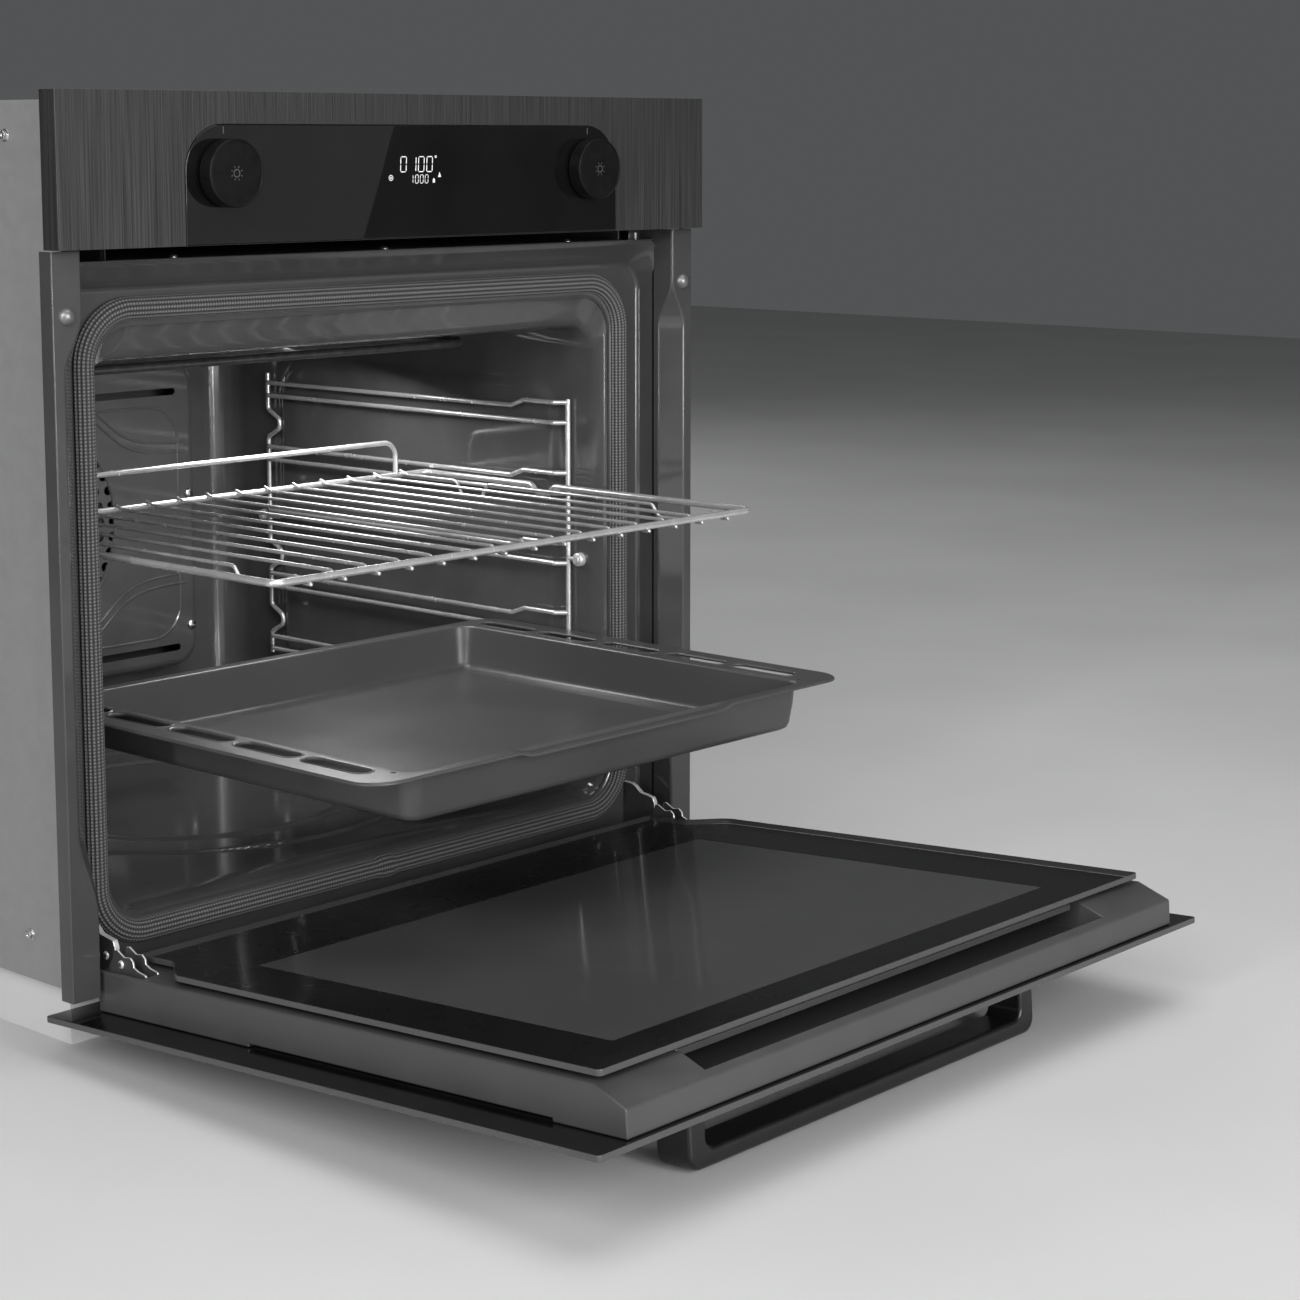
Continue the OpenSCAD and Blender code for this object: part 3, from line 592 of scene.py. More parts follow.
def trim(side):
    """Side trim: a rounded fold, a return wall and a flange, its bend flattened into a lens"""
    rings = []
    heights = [2, 20, 40, 52] + [60 + 5 * k for k in range(12)] + [140, 200, 260, 320, 370] \
        + [392 + 5 * k for k in range(11)] + [450, 458, 466, 474, 479]
    for z in heights:
        c = 1.2 + 13 * smooth(56, 112, z) * (1 - smooth(404, 440, z))
        r = 1.1 + c * 0.18
        line = [Vector(p) for p in ((266, 46.6, z), (RETURN_X, 46, z), (RETURN_X, 10 + c, z),
                                    (RETURN_X + c, 10, z), (297.6, 10, z), (297.6, 22, z))]
        out = [line[0]]
        for k, bend in ((1, 6.0), (2, r), (3, r), (4, 0.9)):
            out += fillet([line[k - 1], line[k], line[k + 1]], bend, steps=6)[1:-1]
        out.append(line[-1])
        rings.append([(side * p.x, p.y, p.z) for p in out])
    bm = loft_open(rings)
    if side < 0:
        bmesh.ops.reverse_faces(bm, faces=bm.faces)
    return bm


for side, name in ((-1, "side_trim_left"), (1, "side_trim_right")):
    add(name + "_sheet", trim(side), "root", enamel, [name], fix=False,
        sharp=50, thick=0.9)
DOME = [(0, 4.2), (1.6, 4.1), (3.4, 3.4), (4.8, 2.2), (5.6, 0.8), (5.7, 0.0), (5.2, -0.2)]
caps = mirrored(lambda s: lathe(bmesh.new(), DOME, (s * 287, 10, 439), sides=32))
add("screw_cap_domes", caps, "root", satin, ["trim_screw_caps"], sharp=60)

SCREW = [(0, 1.1), (0.8, 1.1), (0.9, 1.7), (2.6, 1.6), (3.4, 1.0), (3.6, 0.2), (3.6, 0)]
screws = merge(*(lathe(bmesh.new(), SCREW, (x, 35, 471.7), (0, 0, 1), 24)
                 for x in (-184.5, 0, 184.5)))
add("outlet_screw_heads", screws, "root", steel, ["outlet_screws_set"], sharp=50)

# ---- cavity ----
CAVITY_HW, FLOOR_Z, CEILING_Z, BACK_Y = 238, 40, 405, 506
WALL_R, BACK_R, WALL_Y0, WALL_STEPS = 20, 26, 69, 150


def liner_loop(y, hw, z0, z1, r, inset=0.0):
    """One ring of the liner with the same number of points whatever its size"""
    hw, z0, z1, r = hw - inset, z0 + inset, z1 - inset, max(r - inset * 0.7, 4)
    corners = soft(-hw, hw, z0, z1, r, 8)
    counts = (124, 160, 124, 160)
    ring = []
    for side in range(4):
        turn = corners[side * 9:side * 9 + 9]
        ring += turn
        start, end = turn[-1], corners[(side * 9 + 9) % 36]
        n = counts[side]
        ring += [(start[0] + (end[0] - start[0]) * k / n,
                  start[1] + (end[1] - start[1]) * k / n) for k in range(1, n)]
    return [(x, y, z) for x, z in ring]


def press(p):
    """Pressed shapes of the liner: panels in the side walls, arcs in the floor"""
    x, y, z = p
    if y < 70 or y > 478:
        return p
    if abs(x) > CAVITY_HW - 0.5:
        d = soft_distance(y, z, 262, 222, 168, 138, 34)
        return (x - math.copysign(3.2 * (1 - smooth(-9, 3, d)), x), y, z)
    if z < FLOOR_Z + 0.5:
        d = math.hypot(x, y - 272)
        lift = 2.2 * ridge(d - 130, 7) + 2.2 * ridge(d - 170, 7)
        return (x, y, z + lift)
    return p


WALLS = (CAVITY_HW, FLOOR_Z, CEILING_Z, WALL_R)
WALL_Y1 = BACK_Y - BACK_R
stations = [(45.2, 246, 32, 433, 31), (46.2, 244.5, 33.5, 431.5, 30),
            (47.2, 242.3, 35.2, 429.6, 29), (49.5, 240.6, 36.6, 427.2, 28),
            (53, 239.4, 37.6, 420.5, 26), (57, 238.6, 38.6, 412.6, 24),
            (60, 238.2, 39.3, 408, 22), (64, CAVITY_HW, 39.8, 405.8, 20.5), (WALL_Y0, *WALLS)]
stations += [(WALL_Y0 + (WALL_Y1 - WALL_Y0) * k / WALL_STEPS, *WALLS)
             for k in range(1, WALL_STEPS + 1)]
rings = [[press(p) for p in liner_loop(*s)] for s in stations]
for k in range(1, 11):
    t = math.radians(9 * k)
    rings.append(liner_loop(WALL_Y1 + BACK_R * math.sin(t), *WALLS, BACK_R * (1 - math.cos(t))))
for inset in (45, 80, 120, 160, 178):
    rings.append(liner_loop(BACK_Y, *WALLS, inset))
liner = bmesh.new()
loft(liner, [[Vector(p) for p in ring] for ring in rings])
add("cavity_shell", liner, "root", dark_enamel, ["cavity_liner"], fix=False,
    sharp=60, thick=-0.8)

# ---- fan cover ----
FAN_Z, COVER_Y, HOLE_PITCH = 229, 474, 12.6
holes = [soft(-157, 157, 331, 337, 2.9, 4), soft(-157, 157, 109, 115, 2.9, 4)]
for ring in range(1, 8):
    for k in range(ring * 6):
        a = 2 * math.pi * k / (ring * 6)
        holes.append(circle(ring * HOLE_PITCH * math.cos(a),
                            FAN_Z + ring * HOLE_PITCH * math.sin(a), 4.1, 10))
cover = plate([soft(-170, 170, 102, 355, 16, 8)] + holes, 1.2, y=COVER_Y)
skirt = bmesh.new()
loft(skirt, [[(x, y, z) for x, z in soft(-178 + g, 178 - g, 94 + g, 363 - g, r, 8)]
             for g, r, y in ((8, 16, COVER_Y), (5, 19, 474.6), (2.6, 21, 476.4), (1.2, 22, 479.5),
                             (0.2, 22, 500), (-2.2, 23, 504.5), (-6, 25, 505.8))])
ribs = bmesh.new()
WAIST = [(165, 53), (150, 53.2), (135, 54), (122, 55.6), (110, 58.5), (99, 63.5), (90, 70),
         (80, 78.5), (68, 89), (54, 98), (38, 105.4), (20, 110.2), (0, 112)]
for grow in (0, 8):
    for s in (-1, 1):
        bow = [(x, 474.6, FAN_Z + s * (z + grow)) for x, z in WAIST]
        tube(ribs, bow + [(-x, y, z) for x, y, z in bow[-2::-1]], 1.5, sides=8)
tube(ribs, [(x, 474.7, z) for x, z in circle(0, FAN_Z, 91, 64)], 1.8, closed=True, sides=8)
tube(ribs, [(x, 474.7, z) for x, z in soft(-158, 158, 122, 322, 30, 10)], 1.6, closed=True,
     sides=8)
add("fan_cover_panel", merge(cover, skirt, ribs), "root", dark_enamel,
    ["fan_cover"])
pan_head = [(0, 0.9), (0.7, 0.9), (0.8, 2.1), (3.2, 1.9), (4.3, 1.0), (4.5, 0)]
add("fan_cover_screw_heads", merge(*(lathe(bmesh.new(), pan_head, (x, COVER_Y, z), sides=24)
    for x in (-169, 169) for z in (130, 245))), "root", steel,
    ["fan_cover_screws"], sharp=50)

# ---- door seal ----
seal = bmesh.new()
uv_layer = seal.loops.layers.uv.new("lengths")
seal_path = soft(-251, 251, 26.5, 439.5, 36, 14)
path = []
for i, p in enumerate(seal_path):
    q = seal_path[(i + 1) % len(seal_path)]
    span = math.dist(p, q)
    n = max(1, round(span / 5))
    path += [(p[0] + (q[0] - p[0]) * k / n, p[1] + (q[1] - p[1]) * k / n) for k in range(n)]
SEAL_Y, SEAL_STEPS = 45.6, 8 * SEAL_RIBS
section = []
for k in range(SEAL_STEPS + 1):
    a = math.pi * k / SEAL_STEPS
    bulge = 1 + 0.09 * abs(math.sin(SEAL_RIBS * a)) ** 0.7
    section.append((7.0 * math.cos(a) * bulge, 6.3 * math.sin(a) ** 0.8 * bulge))
rings, along, run = [], [], 0.0
count = len(path)
for i in range(count + 1):
    p, a, b = path[i % count], path[(i - 1) % count], path[(i + 1) % count]
    t = Vector((b[0] - a[0], b[1] - a[1])).normalized()
    splice = (1 - smooth(5, 8, abs(p[0]))) if p[1] < 30 else 0
    wide, deep = 1 + 0.2 * splice, 1 + 0.08 * splice
    ring = [seal.verts.new((p[0] + t.y * u * wide, SEAL_Y - w * deep, p[1] - t.x * u * wide))
            for u, w in section]
    rings.append(ring)
    if i:
        run += math.dist(path[i - 1], p)
    along.append(run)
for i in range(count):
    for k in range(len(section) - 1):
        face = seal.faces.new((rings[i][k], rings[i][k + 1], rings[i + 1][k + 1], rings[i + 1][k]))
        for loop, (s, c) in zip(face.loops, ((i, k), (i, k + 1), (i + 1, k + 1), (i + 1, k))):
            loop[uv_layer].uv = (along[s], c * SEAL_GIRTH / SEAL_STEPS)
bmesh.ops.remove_doubles(seal, verts=seal.verts, dist=0.001)
add("door_seal", seal, "root", braid, ["door_gasket"], sharp=70)

# ---- side racks ----
LEVELS = [106 + 55.5 * k for k in range(5)]


def rack(side):
    bm = bmesh.new()
    front, back, out, run_x = 82, 443, 233.8, 227
    tube(bm, [(side * out, front, 101), (side * out, front, 346)], 2.1)
    post = [(side * out, back, 101)]
    for z in (131, 188, 303):
        post += [(side * out, back, z - 12), (side * out, back - 15, z - 4),
                 (side * out, back - 15, z + 4), (side * out, back, z + 12)]
    tube(bm, post + [(side * out, back, 346)], 2.1, bend=5)
    for z in LEVELS:
        tube(bm, [(side * out, front, z), (side * run_x, front + 9, z),
                  (side * run_x, back - 9, z), (side * out, back, z)], 2.0, bend=4)
        tube(bm, [(side * out, front, z + 16), (side * run_x, front + 9, z + 16),
                  (side * run_x, 124, z + 16), (side * run_x, 138, z + 11),
                  (side * run_x, back - 9, z + 11), (side * out, back, z + 11)], 2.0, bend=4)
    for y in (front, back):
        tube(bm, [(side * out, y, 221), (side * 236.6, y - 9, 221)], 2.0)
    return bm


add("rack_left_wires", rack(-1), "root", chrome, ["rack_left"], sharp=60)
add("rack_right_wires", rack(1), "root", chrome, ["rack_right"], sharp=60)
NUT = [(0, 6.5), (2.4, 6.5), (2.8, 5.2), (4.6, 5.0), (5.4, 4.0), (5.5, 0.5), (5.2, 0), (0, 0)]
nuts = mirrored(lambda s: merge(*(lathe(bmesh.new(), NUT, (s * 237.6, y, 221), (-s, 0, 0), 24)
                                  for y in (72, 453))))
add("rack_nut_heads", nuts, "root", nickel, ["rack_nuts"], sharp=50)

# ---- wire shelf ----
SHELF_Z, SHELF_Y0, SHELF_Y1, SHELF_HW = 277.8, -110.5, 236.5, 226.5
BAR_PITCH, OUTER_BAR, BAR_R, RIM_R, GUARD_R = 28.4, 7, 1.35, 2.5, 2.2
grid = bmesh.new()
notch = [(90, 0), (96, -6), (109, -6), (115, 0)]
side_line = [(SHELF_HW, y, SHELF_Z + dz) for y, dz in notch]
loop = ([(-SHELF_HW, SHELF_Y0, SHELF_Z), (SHELF_HW, SHELF_Y0, SHELF_Z)] + side_line
        + [(SHELF_HW, SHELF_Y1, SHELF_Z), (-SHELF_HW, SHELF_Y1, SHELF_Z)]
        + [(-x, y, z) for x, y, z in side_line[::-1]])
tube(grid, loop, RIM_R, bend=7, closed=True, sides=14)
for k in range(-OUTER_BAR, OUTER_BAR + 1):
    x = BAR_PITCH * k
    middle = []
    if abs(k) == OUTER_BAR:
        middle = [(x, -75, 269.6), (x, -45, 269.6), (x, -38, 278.4), (x, 136, 278.4),
                  (x, 143, 267.6), (x, 165, 267.6), (x, 172, 278.4)]
    tube(grid, [(x, SHELF_Y0 - 2.2, 274.4), (x, SHELF_Y0 + 4, 274.4), (x, SHELF_Y0 + 12, 278.4)]
         + middle + [(x, SHELF_Y1 - 8, 278.4), (x, SHELF_Y1 + 0.5, 281)],
         BAR_R, bend=5, sides=8)
tube(grid, [(-193, SHELF_Y1, 278), (-193, SHELF_Y1, 304.8), (193, SHELF_Y1, 304.8),
            (193, SHELF_Y1, 278)], GUARD_R, bend=12, sides=12, steps=8)
add("wire_shelf_grid", grid, "shelf", chrome, ["wire_shelf"], sharp=60)

# ---- baking tray ----
TRAY_Z, TRAY_SHEET, EDGE_STEPS, CORNER_STEPS = 165.0, 0.9, 48, 8
tray_rings = [(0, 0, -1.2, 22), (0, 0, -0.5, 22), (0.5, 0.5, 0.0, 22), (1.4, 1.2, 0.1, 21.5),
              (8, 3, 0.0, 20), (24, 6, 0.0, 17), (36.4, 8.6, 0.0, 14), (37.8, 9.6, -0.5, 13),
              (38.6, 10.4, -1.8, 12.5), (40, 11.8, -14, 11), (42.2, 14, -28, 9.5),
              (43.6, 15.4, -31.2, 9), (46.2, 18, -32.7, 8.5), (49.6, 21.4, -33.1, 8.5),
              (60, 32, -33.1, 9), (63, 35, -31.9, 9), (66, 38, -31.8, 9),
              (80, 62, -32.7, 9), (120, 100, -32.9, 9), (170, 150, -33, 9), (214, 174, -33, 8)]
tray = bmesh.new()
rings = []
for inset, end_inset, dz, r in tray_rings:
    x, y0, y1 = 228 - inset, -200 + end_inset, 165 - end_inset
    ring = []
    corners = soft(-x, x, y0, y1, r, CORNER_STEPS)
    turn = CORNER_STEPS + 1
    for i in range(0, 4 * turn, turn):
        ring += corners[i:i + turn]
        a, b = ring[-1], corners[(i + turn) % (4 * turn)]
        ring += [(a[0] + (b[0] - a[0]) * k / EDGE_STEPS, a[1] + (b[1] - a[1]) * k / EDGE_STEPS)
                 for k in range(1, EDGE_STEPS)]
    dip = 3.0 if end_inset < 9 else 0.0
    rings.append([(px, py, TRAY_Z + dz - dip * (1 - smooth(92, 104, abs(px)))
                   * (1 - smooth(-192, -188, py))) for px, py in ring])
loft(tray, rings)
tray.verts.ensure_lookup_table()
tray.faces.new(tray.verts[-len(rings[-1]):])
spots = [(s * 205, -141 + 65.5 * k) for s in (-1, 1) for k in range(5)]
lying = (Matrix.Rotation(math.radians(90), 4, "Z") @ Matrix.Rotation(math.radians(90), 4, "X"))
cutters = [moved(plate([soft(-29, 29, -7, 7, 6.9, 6)], 12, y=-6),
                 Matrix.Translation((x, y, TRAY_Z)) @ lying) for x, y in spots]
cutters += [lathe(bmesh.new(), [(2, -4), (2, 4)], (s * 195, -181, TRAY_Z), (0, 0, 1), 16)
            for s in (-1, 1)]
tray = carve(tray, [merge(*cutters)], TRAY_SHEET)
rims = bmesh.new()
for x, y in spots:
    tube(rims, [(x + a, y + b, TRAY_Z - 0.2) for b, a in soft(-29.8, 29.8, -7.8, 7.8, 7.7, 6)],
         1.2, closed=True, sides=8)
add("tray_body", merge(tray, rims), "tray", tray_paint, ["baking_tray"], sharp=40)

# ---- door ----
GLASS_T, DOOR_TOP, INNER_Y, MIDDLE_Y = 4, 490, 34, 26
WINDOW_HW, WINDOW_Z0, WINDOW_Z1 = 214, 113, 423
frame_block = carve(
    box(bmesh.new(), -272, 272, 4.3, 31, 22, 486),
    [box(bmesh.new(), -213, 213, 0, 40, 104, 424),
     prism(bmesh.new(), [(21, 487), (21, 486), (31, 462), (33, 462), (33, 487)], -300, 300),
     box(bmesh.new(), -200, 200, 13, 40, 423, 479),
     box(bmesh.new(), 267, 273, 0, 6.4, 172, 430), box(bmesh.new(), -273, -267, 0, 6.4, 172, 430),
     box(bmesh.new(), 252, 268, 10, 40, 20, 64.5), box(bmesh.new(), -268, -252, 10, 40, 20, 64.5)])
add("door_frame_body", frame_block, "door", door_paint, ["door_frame"],
    place=DOOR, bevel=1.8, segments=3)
outer = plate([soft(-FRONT_HW, FRONT_HW, 0, DOOR_TOP, 2.5, 4)], GLASS_T, 0.5, resolution=2)
add("outer_glass_pane", outer, "door", black_glass, ["door_outer_glass"],
    place=DOOR, edge=edge_glass)


def inner_outline(hw, low, high, notch):
    """Half outline mirrored: narrow at the hinges, an S-curve out to full width, soft corners"""
    step_in, steps = 21, 16
    right = [(hw - step_in - notch, low), (hw - step_in - notch, 64)]
    right += [(hw - step_in * (1 - smooth(0, 1, k / steps)) - notch * (k < steps),
               66 + 36 * k / steps + notch) for k in range(steps + 1)]
    right += arc(hw - 3, high - 3, 3, 0, 90, 4)
    return right + [(-x, z) for x, z in right[::-1]]


pane = plate([inner_outline(268, 34, 464, 0)], GLASS_T, 0.5, y=INNER_Y, resolution=2)
add("inner_glass_pane", pane, "door", tinted, ["door_inner_glass"],
    place=DOOR, edge=edge_glass)
border = plate([inner_outline(266.6, 35.4, 462.6, 0.4),
                soft(-WINDOW_HW, WINDOW_HW, WINDOW_Z0, WINDOW_Z1, 2, 3)], 0.12, y=INNER_Y + 0.06)
add("inner_glass_print", border, "door", print_black, place=DOOR)
# light grey sheet in the window of the inner pane: glass tint plus painted reflection
coating_and_reflection = plate([soft(0.2 - WINDOW_HW, WINDOW_HW - 0.2, WINDOW_Z0 + 0.2, WINDOW_Z1 - 0.2, 2, 3)],
                0.1, y=INNER_Y - 0.3)
add("inner_glass_coating_painted_reflection", coating_and_reflection, "door", window_glass_painted_reflection, place=DOOR)
# the middle pane takes the same light grey: glass tint plus painted reflection
middle_pane = plate([soft(-199, 199, 110, 456, 3, 4)], GLASS_T, 0.4, y=MIDDLE_Y)
add("middle_glass_pane", middle_pane, "door", window_glass_painted_reflection,
    ["door_middle_glass"], place=DOOR, edge=edge_glass)

grip_line = ([(-173, 0), (-173, -42)] + arc(-163, -42, 10, 180, 270, 8)
             + arc(163, -42, 10, 270, 360, 8) + [(173, 0), (158, 0)]
             + arc(151, -34, 7, 0, -90, 8) + arc(-151, -34, 7, 270, 180, 8) + [(-158, 0)])
grip = plate([grip_line], 27, 2.6, resolution=3)
turn_grip = Matrix(((1, 0, 0, 0), (0, 0, 1, 0), (0, 1, 0, 413.5), (0, 0, 0, 1)))
add("handle_grip", moved(grip, turn_grip), "door", handle_black,
    ["door_handle"], place=DOOR, sharp=40)

# ---- hinges ----
arm_line = [(70, 46), (48, 43.5), (37, 43), (33, 41.2), (28, 37), (21, 36), (15, 35),
            (13, 31), (12.8, 20), (12.8, 8), (13.5, 1), (17, -2), (24, -2), (46, 8), (70, 14)]
RIVET = [(0, 1.6), (1.6, 1.5), (2.6, 0.9), (3.0, 0)]
HINGE_X, PIN_Y, PIN_Z = 260, 20.5, 20


def rivets(x, side, spots):
    """Domed rivet heads standing out of a plate's outer face at x"""
    return [lathe(bmesh.new(), RIVET, (x, y, z), (side, 0, 0), 20) for y, z in spots]


def hinge_arm(s):
    plate_x = s * HINGE_X
    arm = prism(bmesh.new(), arm_line, plate_x - 2, plate_x + 2)
    return merge(arm, *rivets(plate_x + s * 2, s, ((22, 24), (22, 6))))


# flat sides take the dark copy as painted shade, the edges the bright polished steel as a painted highlight
add("hinge_arm_plates", mirrored(hinge_arm), "root", hinge_painted_shade,
    ["hinge_arms"], bevel=0.8, segments=3, edge=nickel, flat=(1, 0, 0))
CHEEK = [(12.5, PIN_Z), *arc(PIN_Y, PIN_Z, 8, 180, 330, 8), (31, 24),
         (38, 30), (44.5, 33), (45, 36), (41, 43), (41.5, 49), (39, 52), (35.5, 52.5), (33.5, 57),
         (32, 64), (29, 66), (29, 160), (12.5, 160)]


def cassette(s):
    parts = []
    middle = s * HINGE_X
    for x in (middle - 4.75, middle + 4.75):
        parts.append(prism(bmesh.new(), CHEEK, x - 0.75, x + 0.75))
    parts += rivets(middle + s * 5.5, s, ((36, 40),))
    parts.append(box(bmesh.new(), middle - 4, middle + 4, 12.5, 28, 66, 160))
    parts.append(tube(bmesh.new(), [(middle - 7, PIN_Y, PIN_Z), (middle + 7, PIN_Y, PIN_Z)], 3.4,
                      sides=16))
    return merge(*parts)


# flat sides of the cheeks take the dark copy as painted shade, the edges the bright polished steel as a painted
# highlight
add("hinge_cassette_cheeks", mirrored(cassette), "door", hinge_painted_shade,
    ["hinge_cassettes", "hinge_pins"], place=DOOR, bevel=0.5, segments=3, edge=nickel,
    flat=(1, 0, 0))

# ---- carcass sheets ----
SHEET, CELL = 1.0, 5.0


def pressed(u0, u1, v0, v1, height, cutters=()):
    """Sheet in X and Z with height(u, v) along Y, thickened, with the cutters taken out"""
    across, up = round((u1 - u0) / CELL), round((v1 - v0) / CELL)
    us = [u0 + (u1 - u0) * i / across for i in range(across + 1)]
    vs = [v0 + (v1 - v0) * j / up for j in range(up + 1)]
    grid = loft_open([[(u, height(u, v), v) for u in us] for v in vs])
    return carve(grid, cutters, SHEET)


def extent(node):
    """Lowest and highest corner of a node in housing millimetres"""
    return [Vector((v.x, v.y - FRONT, v.z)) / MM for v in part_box(node)]


def slots(spots, half, r):
    """Cutters for rows of long slots centred on the spots"""
    return [plate([soft(x - half - r, x + half + r, z - r, z + r, r * 0.97, 4)], 12, y=-6)
            for x, z in spots]


def side_height(u, v):
    field = soft_distance(u, v, 320, 285, 185, 225, 60)
    ribs = max(ridge(soft_distance(u, v, 320, z, 140, 8, 8), 10) for z in (145, 285, 425))
    return -3.2 * smooth(7, -7, field) + 3.2 * ribs


def rear_height(u, v):
    field = soft_distance(u, v, 0, 240, 245, 205, 50)
    from_fan = math.hypot(u, v - FAN_Z)
    ring = ridge(from_fan - 112, 11) + ridge(from_fan - 60, 9)
    vents = smooth(9, -3, soft_distance(abs(u), v, 190, 144, 58, 40, 14))
    return -3.0 * smooth(7, -7, field) + 3.0 * ring + 2.6 * vents


def top_height(u, v):
    field = soft_distance(u, v, 0, 300, 235, 215, 40)
    vents = smooth(8, -4, soft_distance(abs(u), v, 120, 365, 74, 50, 14))
    ribs = max(ridge(soft_distance(u, v, x, 190, 8, 75, 8), 10) for x in (-150, 0, 150))
    return -3.0 * smooth(7, -7, field) + 2.4 * vents + 3.0 * ribs


for side, name in ((-1, "side_panel_left"), (1, "side_panel_right")):
    low, high = extent(name)
    outer = side * (max(abs(low.x), abs(high.x)) - SHEET / 2)
    upright = Matrix(((0, side, 0, outer), (1, 0, 0, 0), (0, 0, 1, 0), (0, 0, 0, 1)))
    sheet = pressed(low.y, high.y, low.z, high.z, side_height)
    add(name + "_sheet", moved(sheet, upright), "root", zinc, [name], sharp=50)
low, high = extent("rear_panel")
rear_slots = slots([(s * 190, 120 + 12 * k) for s in (-1, 1) for k in range(5)], 45, 2.5)
rear_slots.append(plate([circle(-210, 500, 9.6, 32)], 12, y=-6))
rear = pressed(low.x, high.x, low.z, high.z, rear_height, rear_slots)
add("rear_panel_sheet", moved(rear, Matrix.Translation((0, high.y - SHEET / 2, 0))), "root",
    zinc, ["rear_panel"], sharp=50)
low, high = extent("top_panel")
top_slots = slots([(s * 120, 330 + 14 * k) for s in (-1, 1) for k in range(6)], 60, 3)
lid = pressed(low.x, high.x, low.y, high.y, top_height, top_slots)
lay = Matrix(((1, 0, 0, 0), (0, 0, 1, 0), (0, 1, 0, high.z - SHEET / 2), (0, 0, 0, 1)))
add("top_panel_sheet", moved(lid, lay), "root", zinc, ["top_panel"], sharp=50)
side_x, rear_y, top_z = extent("side_panel_right")[1].x, extent("rear_panel")[1].y, high.z
HEX = [(0, 2.2), (1.2, 2.2), (1.4, 3.0), (2.7, 3.0), (3.1, 2.6), (3.1, 0.9), (4.6, 0.7), (4.7, 0)]
heads = []
for s in (-1, 1):
    heads += [lathe(bmesh.new(), HEX, (s * (side_x - 9), rear_y, z), (0, 1, 0), 6)
              for z in (24, 150, 290, 430, 545)]
    heads += [lathe(bmesh.new(), HEX, (s * side_x, y, z), (s, 0, 0), 6)
              for y, z in ((rear_y - 11, 90), (rear_y - 11, 470), (80, 30), (80, 550))]
    heads += [lathe(bmesh.new(), HEX, (s * x, y, top_z), (0, 0, 1), 6)
              for x, y in ((262, 60), (262, 300), (262, 535), (120, 540))]
add("carcass_screw_heads", merge(*heads), "root", steel, sharp=30, bevel=0.25)

# ---- CAD nodes that show as they are ----
FINISHES = {"zinc_sheet": zinc, "black_plastic": plastic, "display_plastic": display,
            "circuit_board": board, "white_plastic": white, "bright_steel": steel,
            "fan_aluminium": aluminium, "motor_steel": motor, "element_steel": element,
            "mineral_wool": wool, "lamp_ceramic": ceramic, "clear_glass": lens,
            "polished_steel": nickel, "front_enamel": enamel, "cavity_enamel": dark_enamel,
            "chrome_wire": chrome, "black_glass": black_glass, "tinted_glass": tinted,
            "fascia_metal": brushed, "knob_finish": knob_black, "handle_finish": handle_black,
            "tray_enamel": tray_paint, "door_paint": door_paint, "woven_gasket": braid}
slots = {p["node"]: p["material_slot"] for p in frame["record"]["subparts"]}
EDGES = {"zinc_sheet": 0.3, "black_plastic": 0.5, "motor_steel": 0.8, "lamp_ceramic": 1.0,
         "white_plastic": 0.3, "fan_aluminium": 0.2}
for name, obj in frame["nodes"].items():
    obj.data.materials.clear()
    obj.data.materials.append(FINISHES[slots[name]])
    if obj.hide_render:
        continue
    obj.modifiers.new("weld", "WELD").merge_threshold = 0.00001
    if slots[name] in EDGES:
        edge = obj.modifiers.new("edges", "BEVEL")
        edge.width, edge.segments = EDGES[slots[name]] * MM, 2
        edge.limit_method, edge.angle_limit = "ANGLE", math.radians(40)

# ---- camera, light and floor ----
camera = bpy.data.objects.new("camera", bpy.data.cameras.new("camera"))
scene.collection.objects.link(camera)
scene.camera = camera
camera.data.sensor_width = 36
camera.data.lens = 75.38
camera.data.shift_y = -0.1
camera.data.clip_start, camera.data.clip_end = 0.05, 50
camera.location = (-1.29245, -1.68492, 0.54807)
camera.rotation_mode = "XYZ"
camera.rotation_euler = (math.radians(90 - 7.981), 0, math.radians(-47.891))


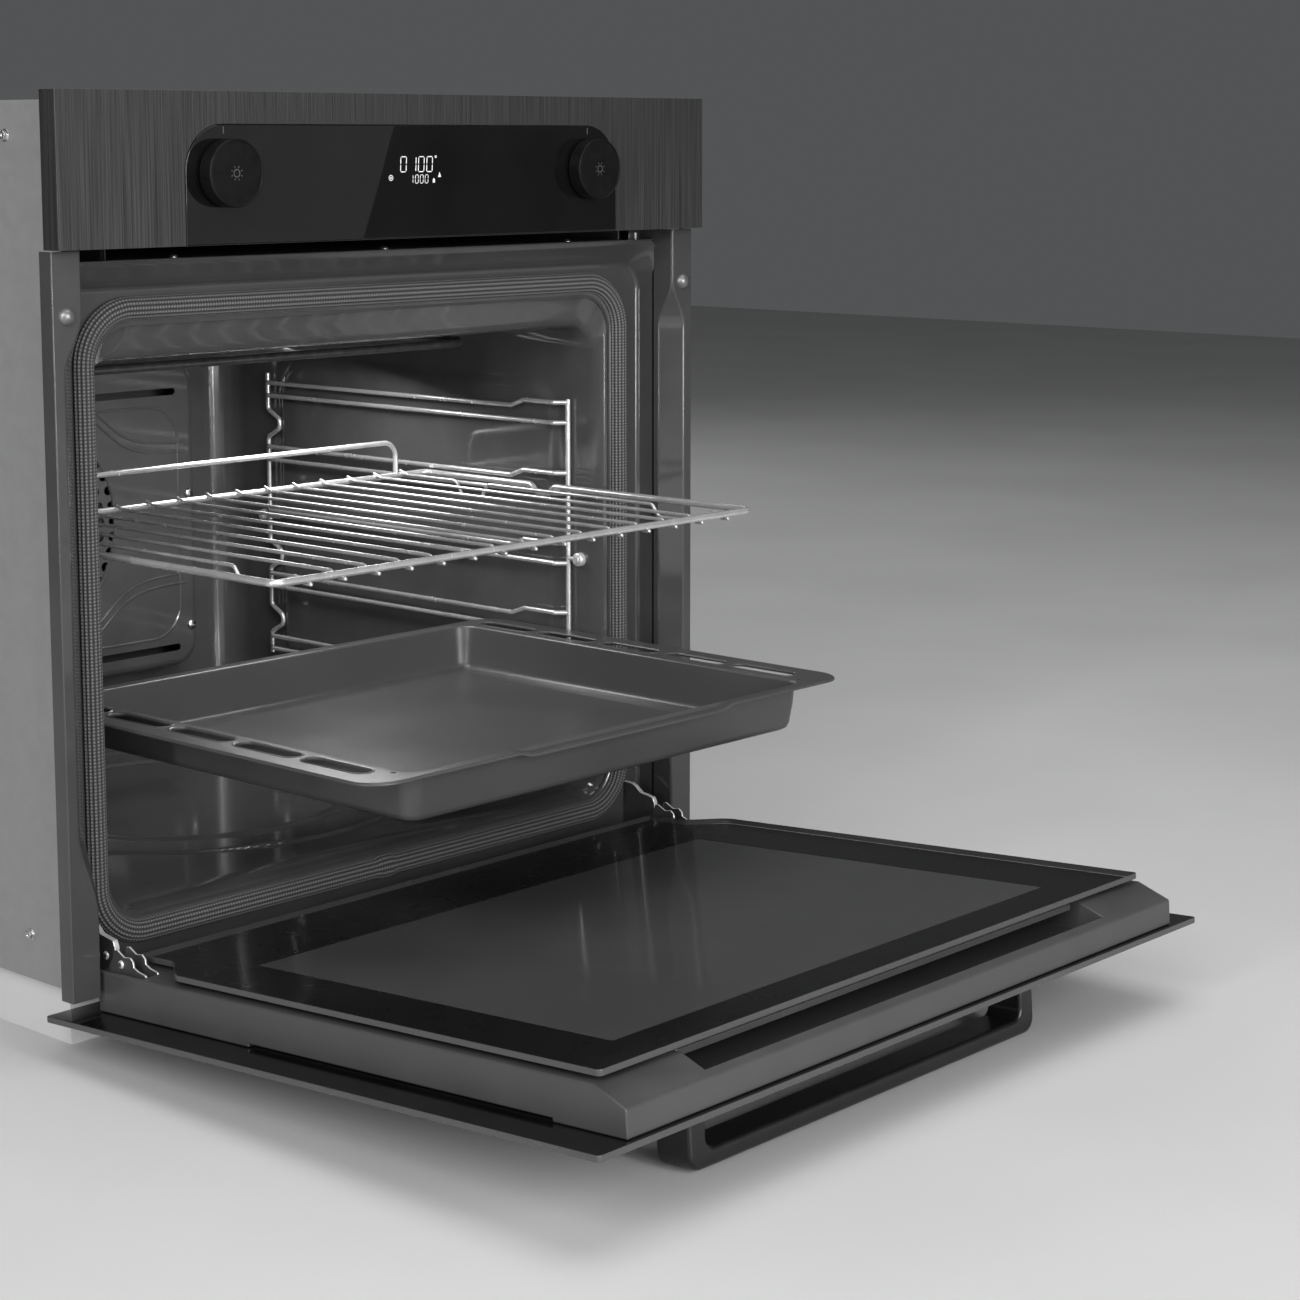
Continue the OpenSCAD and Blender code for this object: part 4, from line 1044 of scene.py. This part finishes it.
def area(name, at, to, size, power, size_y=None):
    light = bpy.data.lights.new(name, "AREA")
    light.energy, light.size = power, size
    if size_y:
        light.shape, light.size_y = "RECTANGLE", size_y
    obj = bpy.data.objects.new(name, light)
    scene.collection.objects.link(obj)
    obj.location = at
    obj.rotation_euler = (Vector(to) - Vector(at)).to_track_quat("-Z", "Y").to_euler()
    return obj


area("key", (-2.3, -1.7, 1.7), (0, -0.2, 0.25), 1.6, 48)
area("front", (-0.7, -3.5, 1.0), (0, 0, 0.25), 2.4, 85)
area("top", (0.1, -0.9, 2.5), (0, -0.5, 0), 1.8, 28)
area("back", (1.4, 2.4, 1.8), (0, 0, 0.2), 1.8, 20)
area("left_strip", (-2.2, -0.9, 0.7), (0, -0.3, 0.3), 0.12, 18, 1.5)
area("front_strip", (-0.2, -3.2, 0.7), (0, -0.3, 0.3), 0.14, 26, 1.5)
area("oven_lamp", (0.1, -0.06, 0.385), (0, 0.0, 0.0), 0.16, 1.2)
card = area("card", (1.355, -2.84, 0.6), (-0.2, -0.3, 0.5), 1.4, 1.6, 1.2)
card.rotation_euler.rotate_axis("Z", math.radians(-15))

world = bpy.data.worlds.new("studio")
scene.world = world
world.use_nodes = True
world.node_tree.nodes["Background"].inputs["Color"].default_value = (0.96, 0.98, 1.0, 1)
world.node_tree.nodes["Background"].inputs["Strength"].default_value = 0.09

floor_z = cad_box[0].z - 0.0005
pan_low, pan_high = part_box("base_pan")
ground = bmesh.new()
bmesh.ops.create_grid(ground, x_segments=1, y_segments=1, size=6,
                      matrix=Matrix.Translation((0, 0, floor_z)))
box(ground, pan_low.x + 0.008, pan_high.x - 0.008, pan_low.y + 0.006, pan_high.y - 0.006,
    floor_z, -0.0002)
floor_mesh = bpy.data.meshes.new("floor")
ground.to_mesh(floor_mesh)
ground.free()
floor = bpy.data.objects.new("floor", floor_mesh)
scene.collection.objects.link(floor)
floor_mesh.materials.append(finish("floor_paint", 0.5, 0.54, (0.85, 0.95), scale=3, bump=0.02,
                                   spec=0.15))
scene.view_settings.view_transform = "Standard"
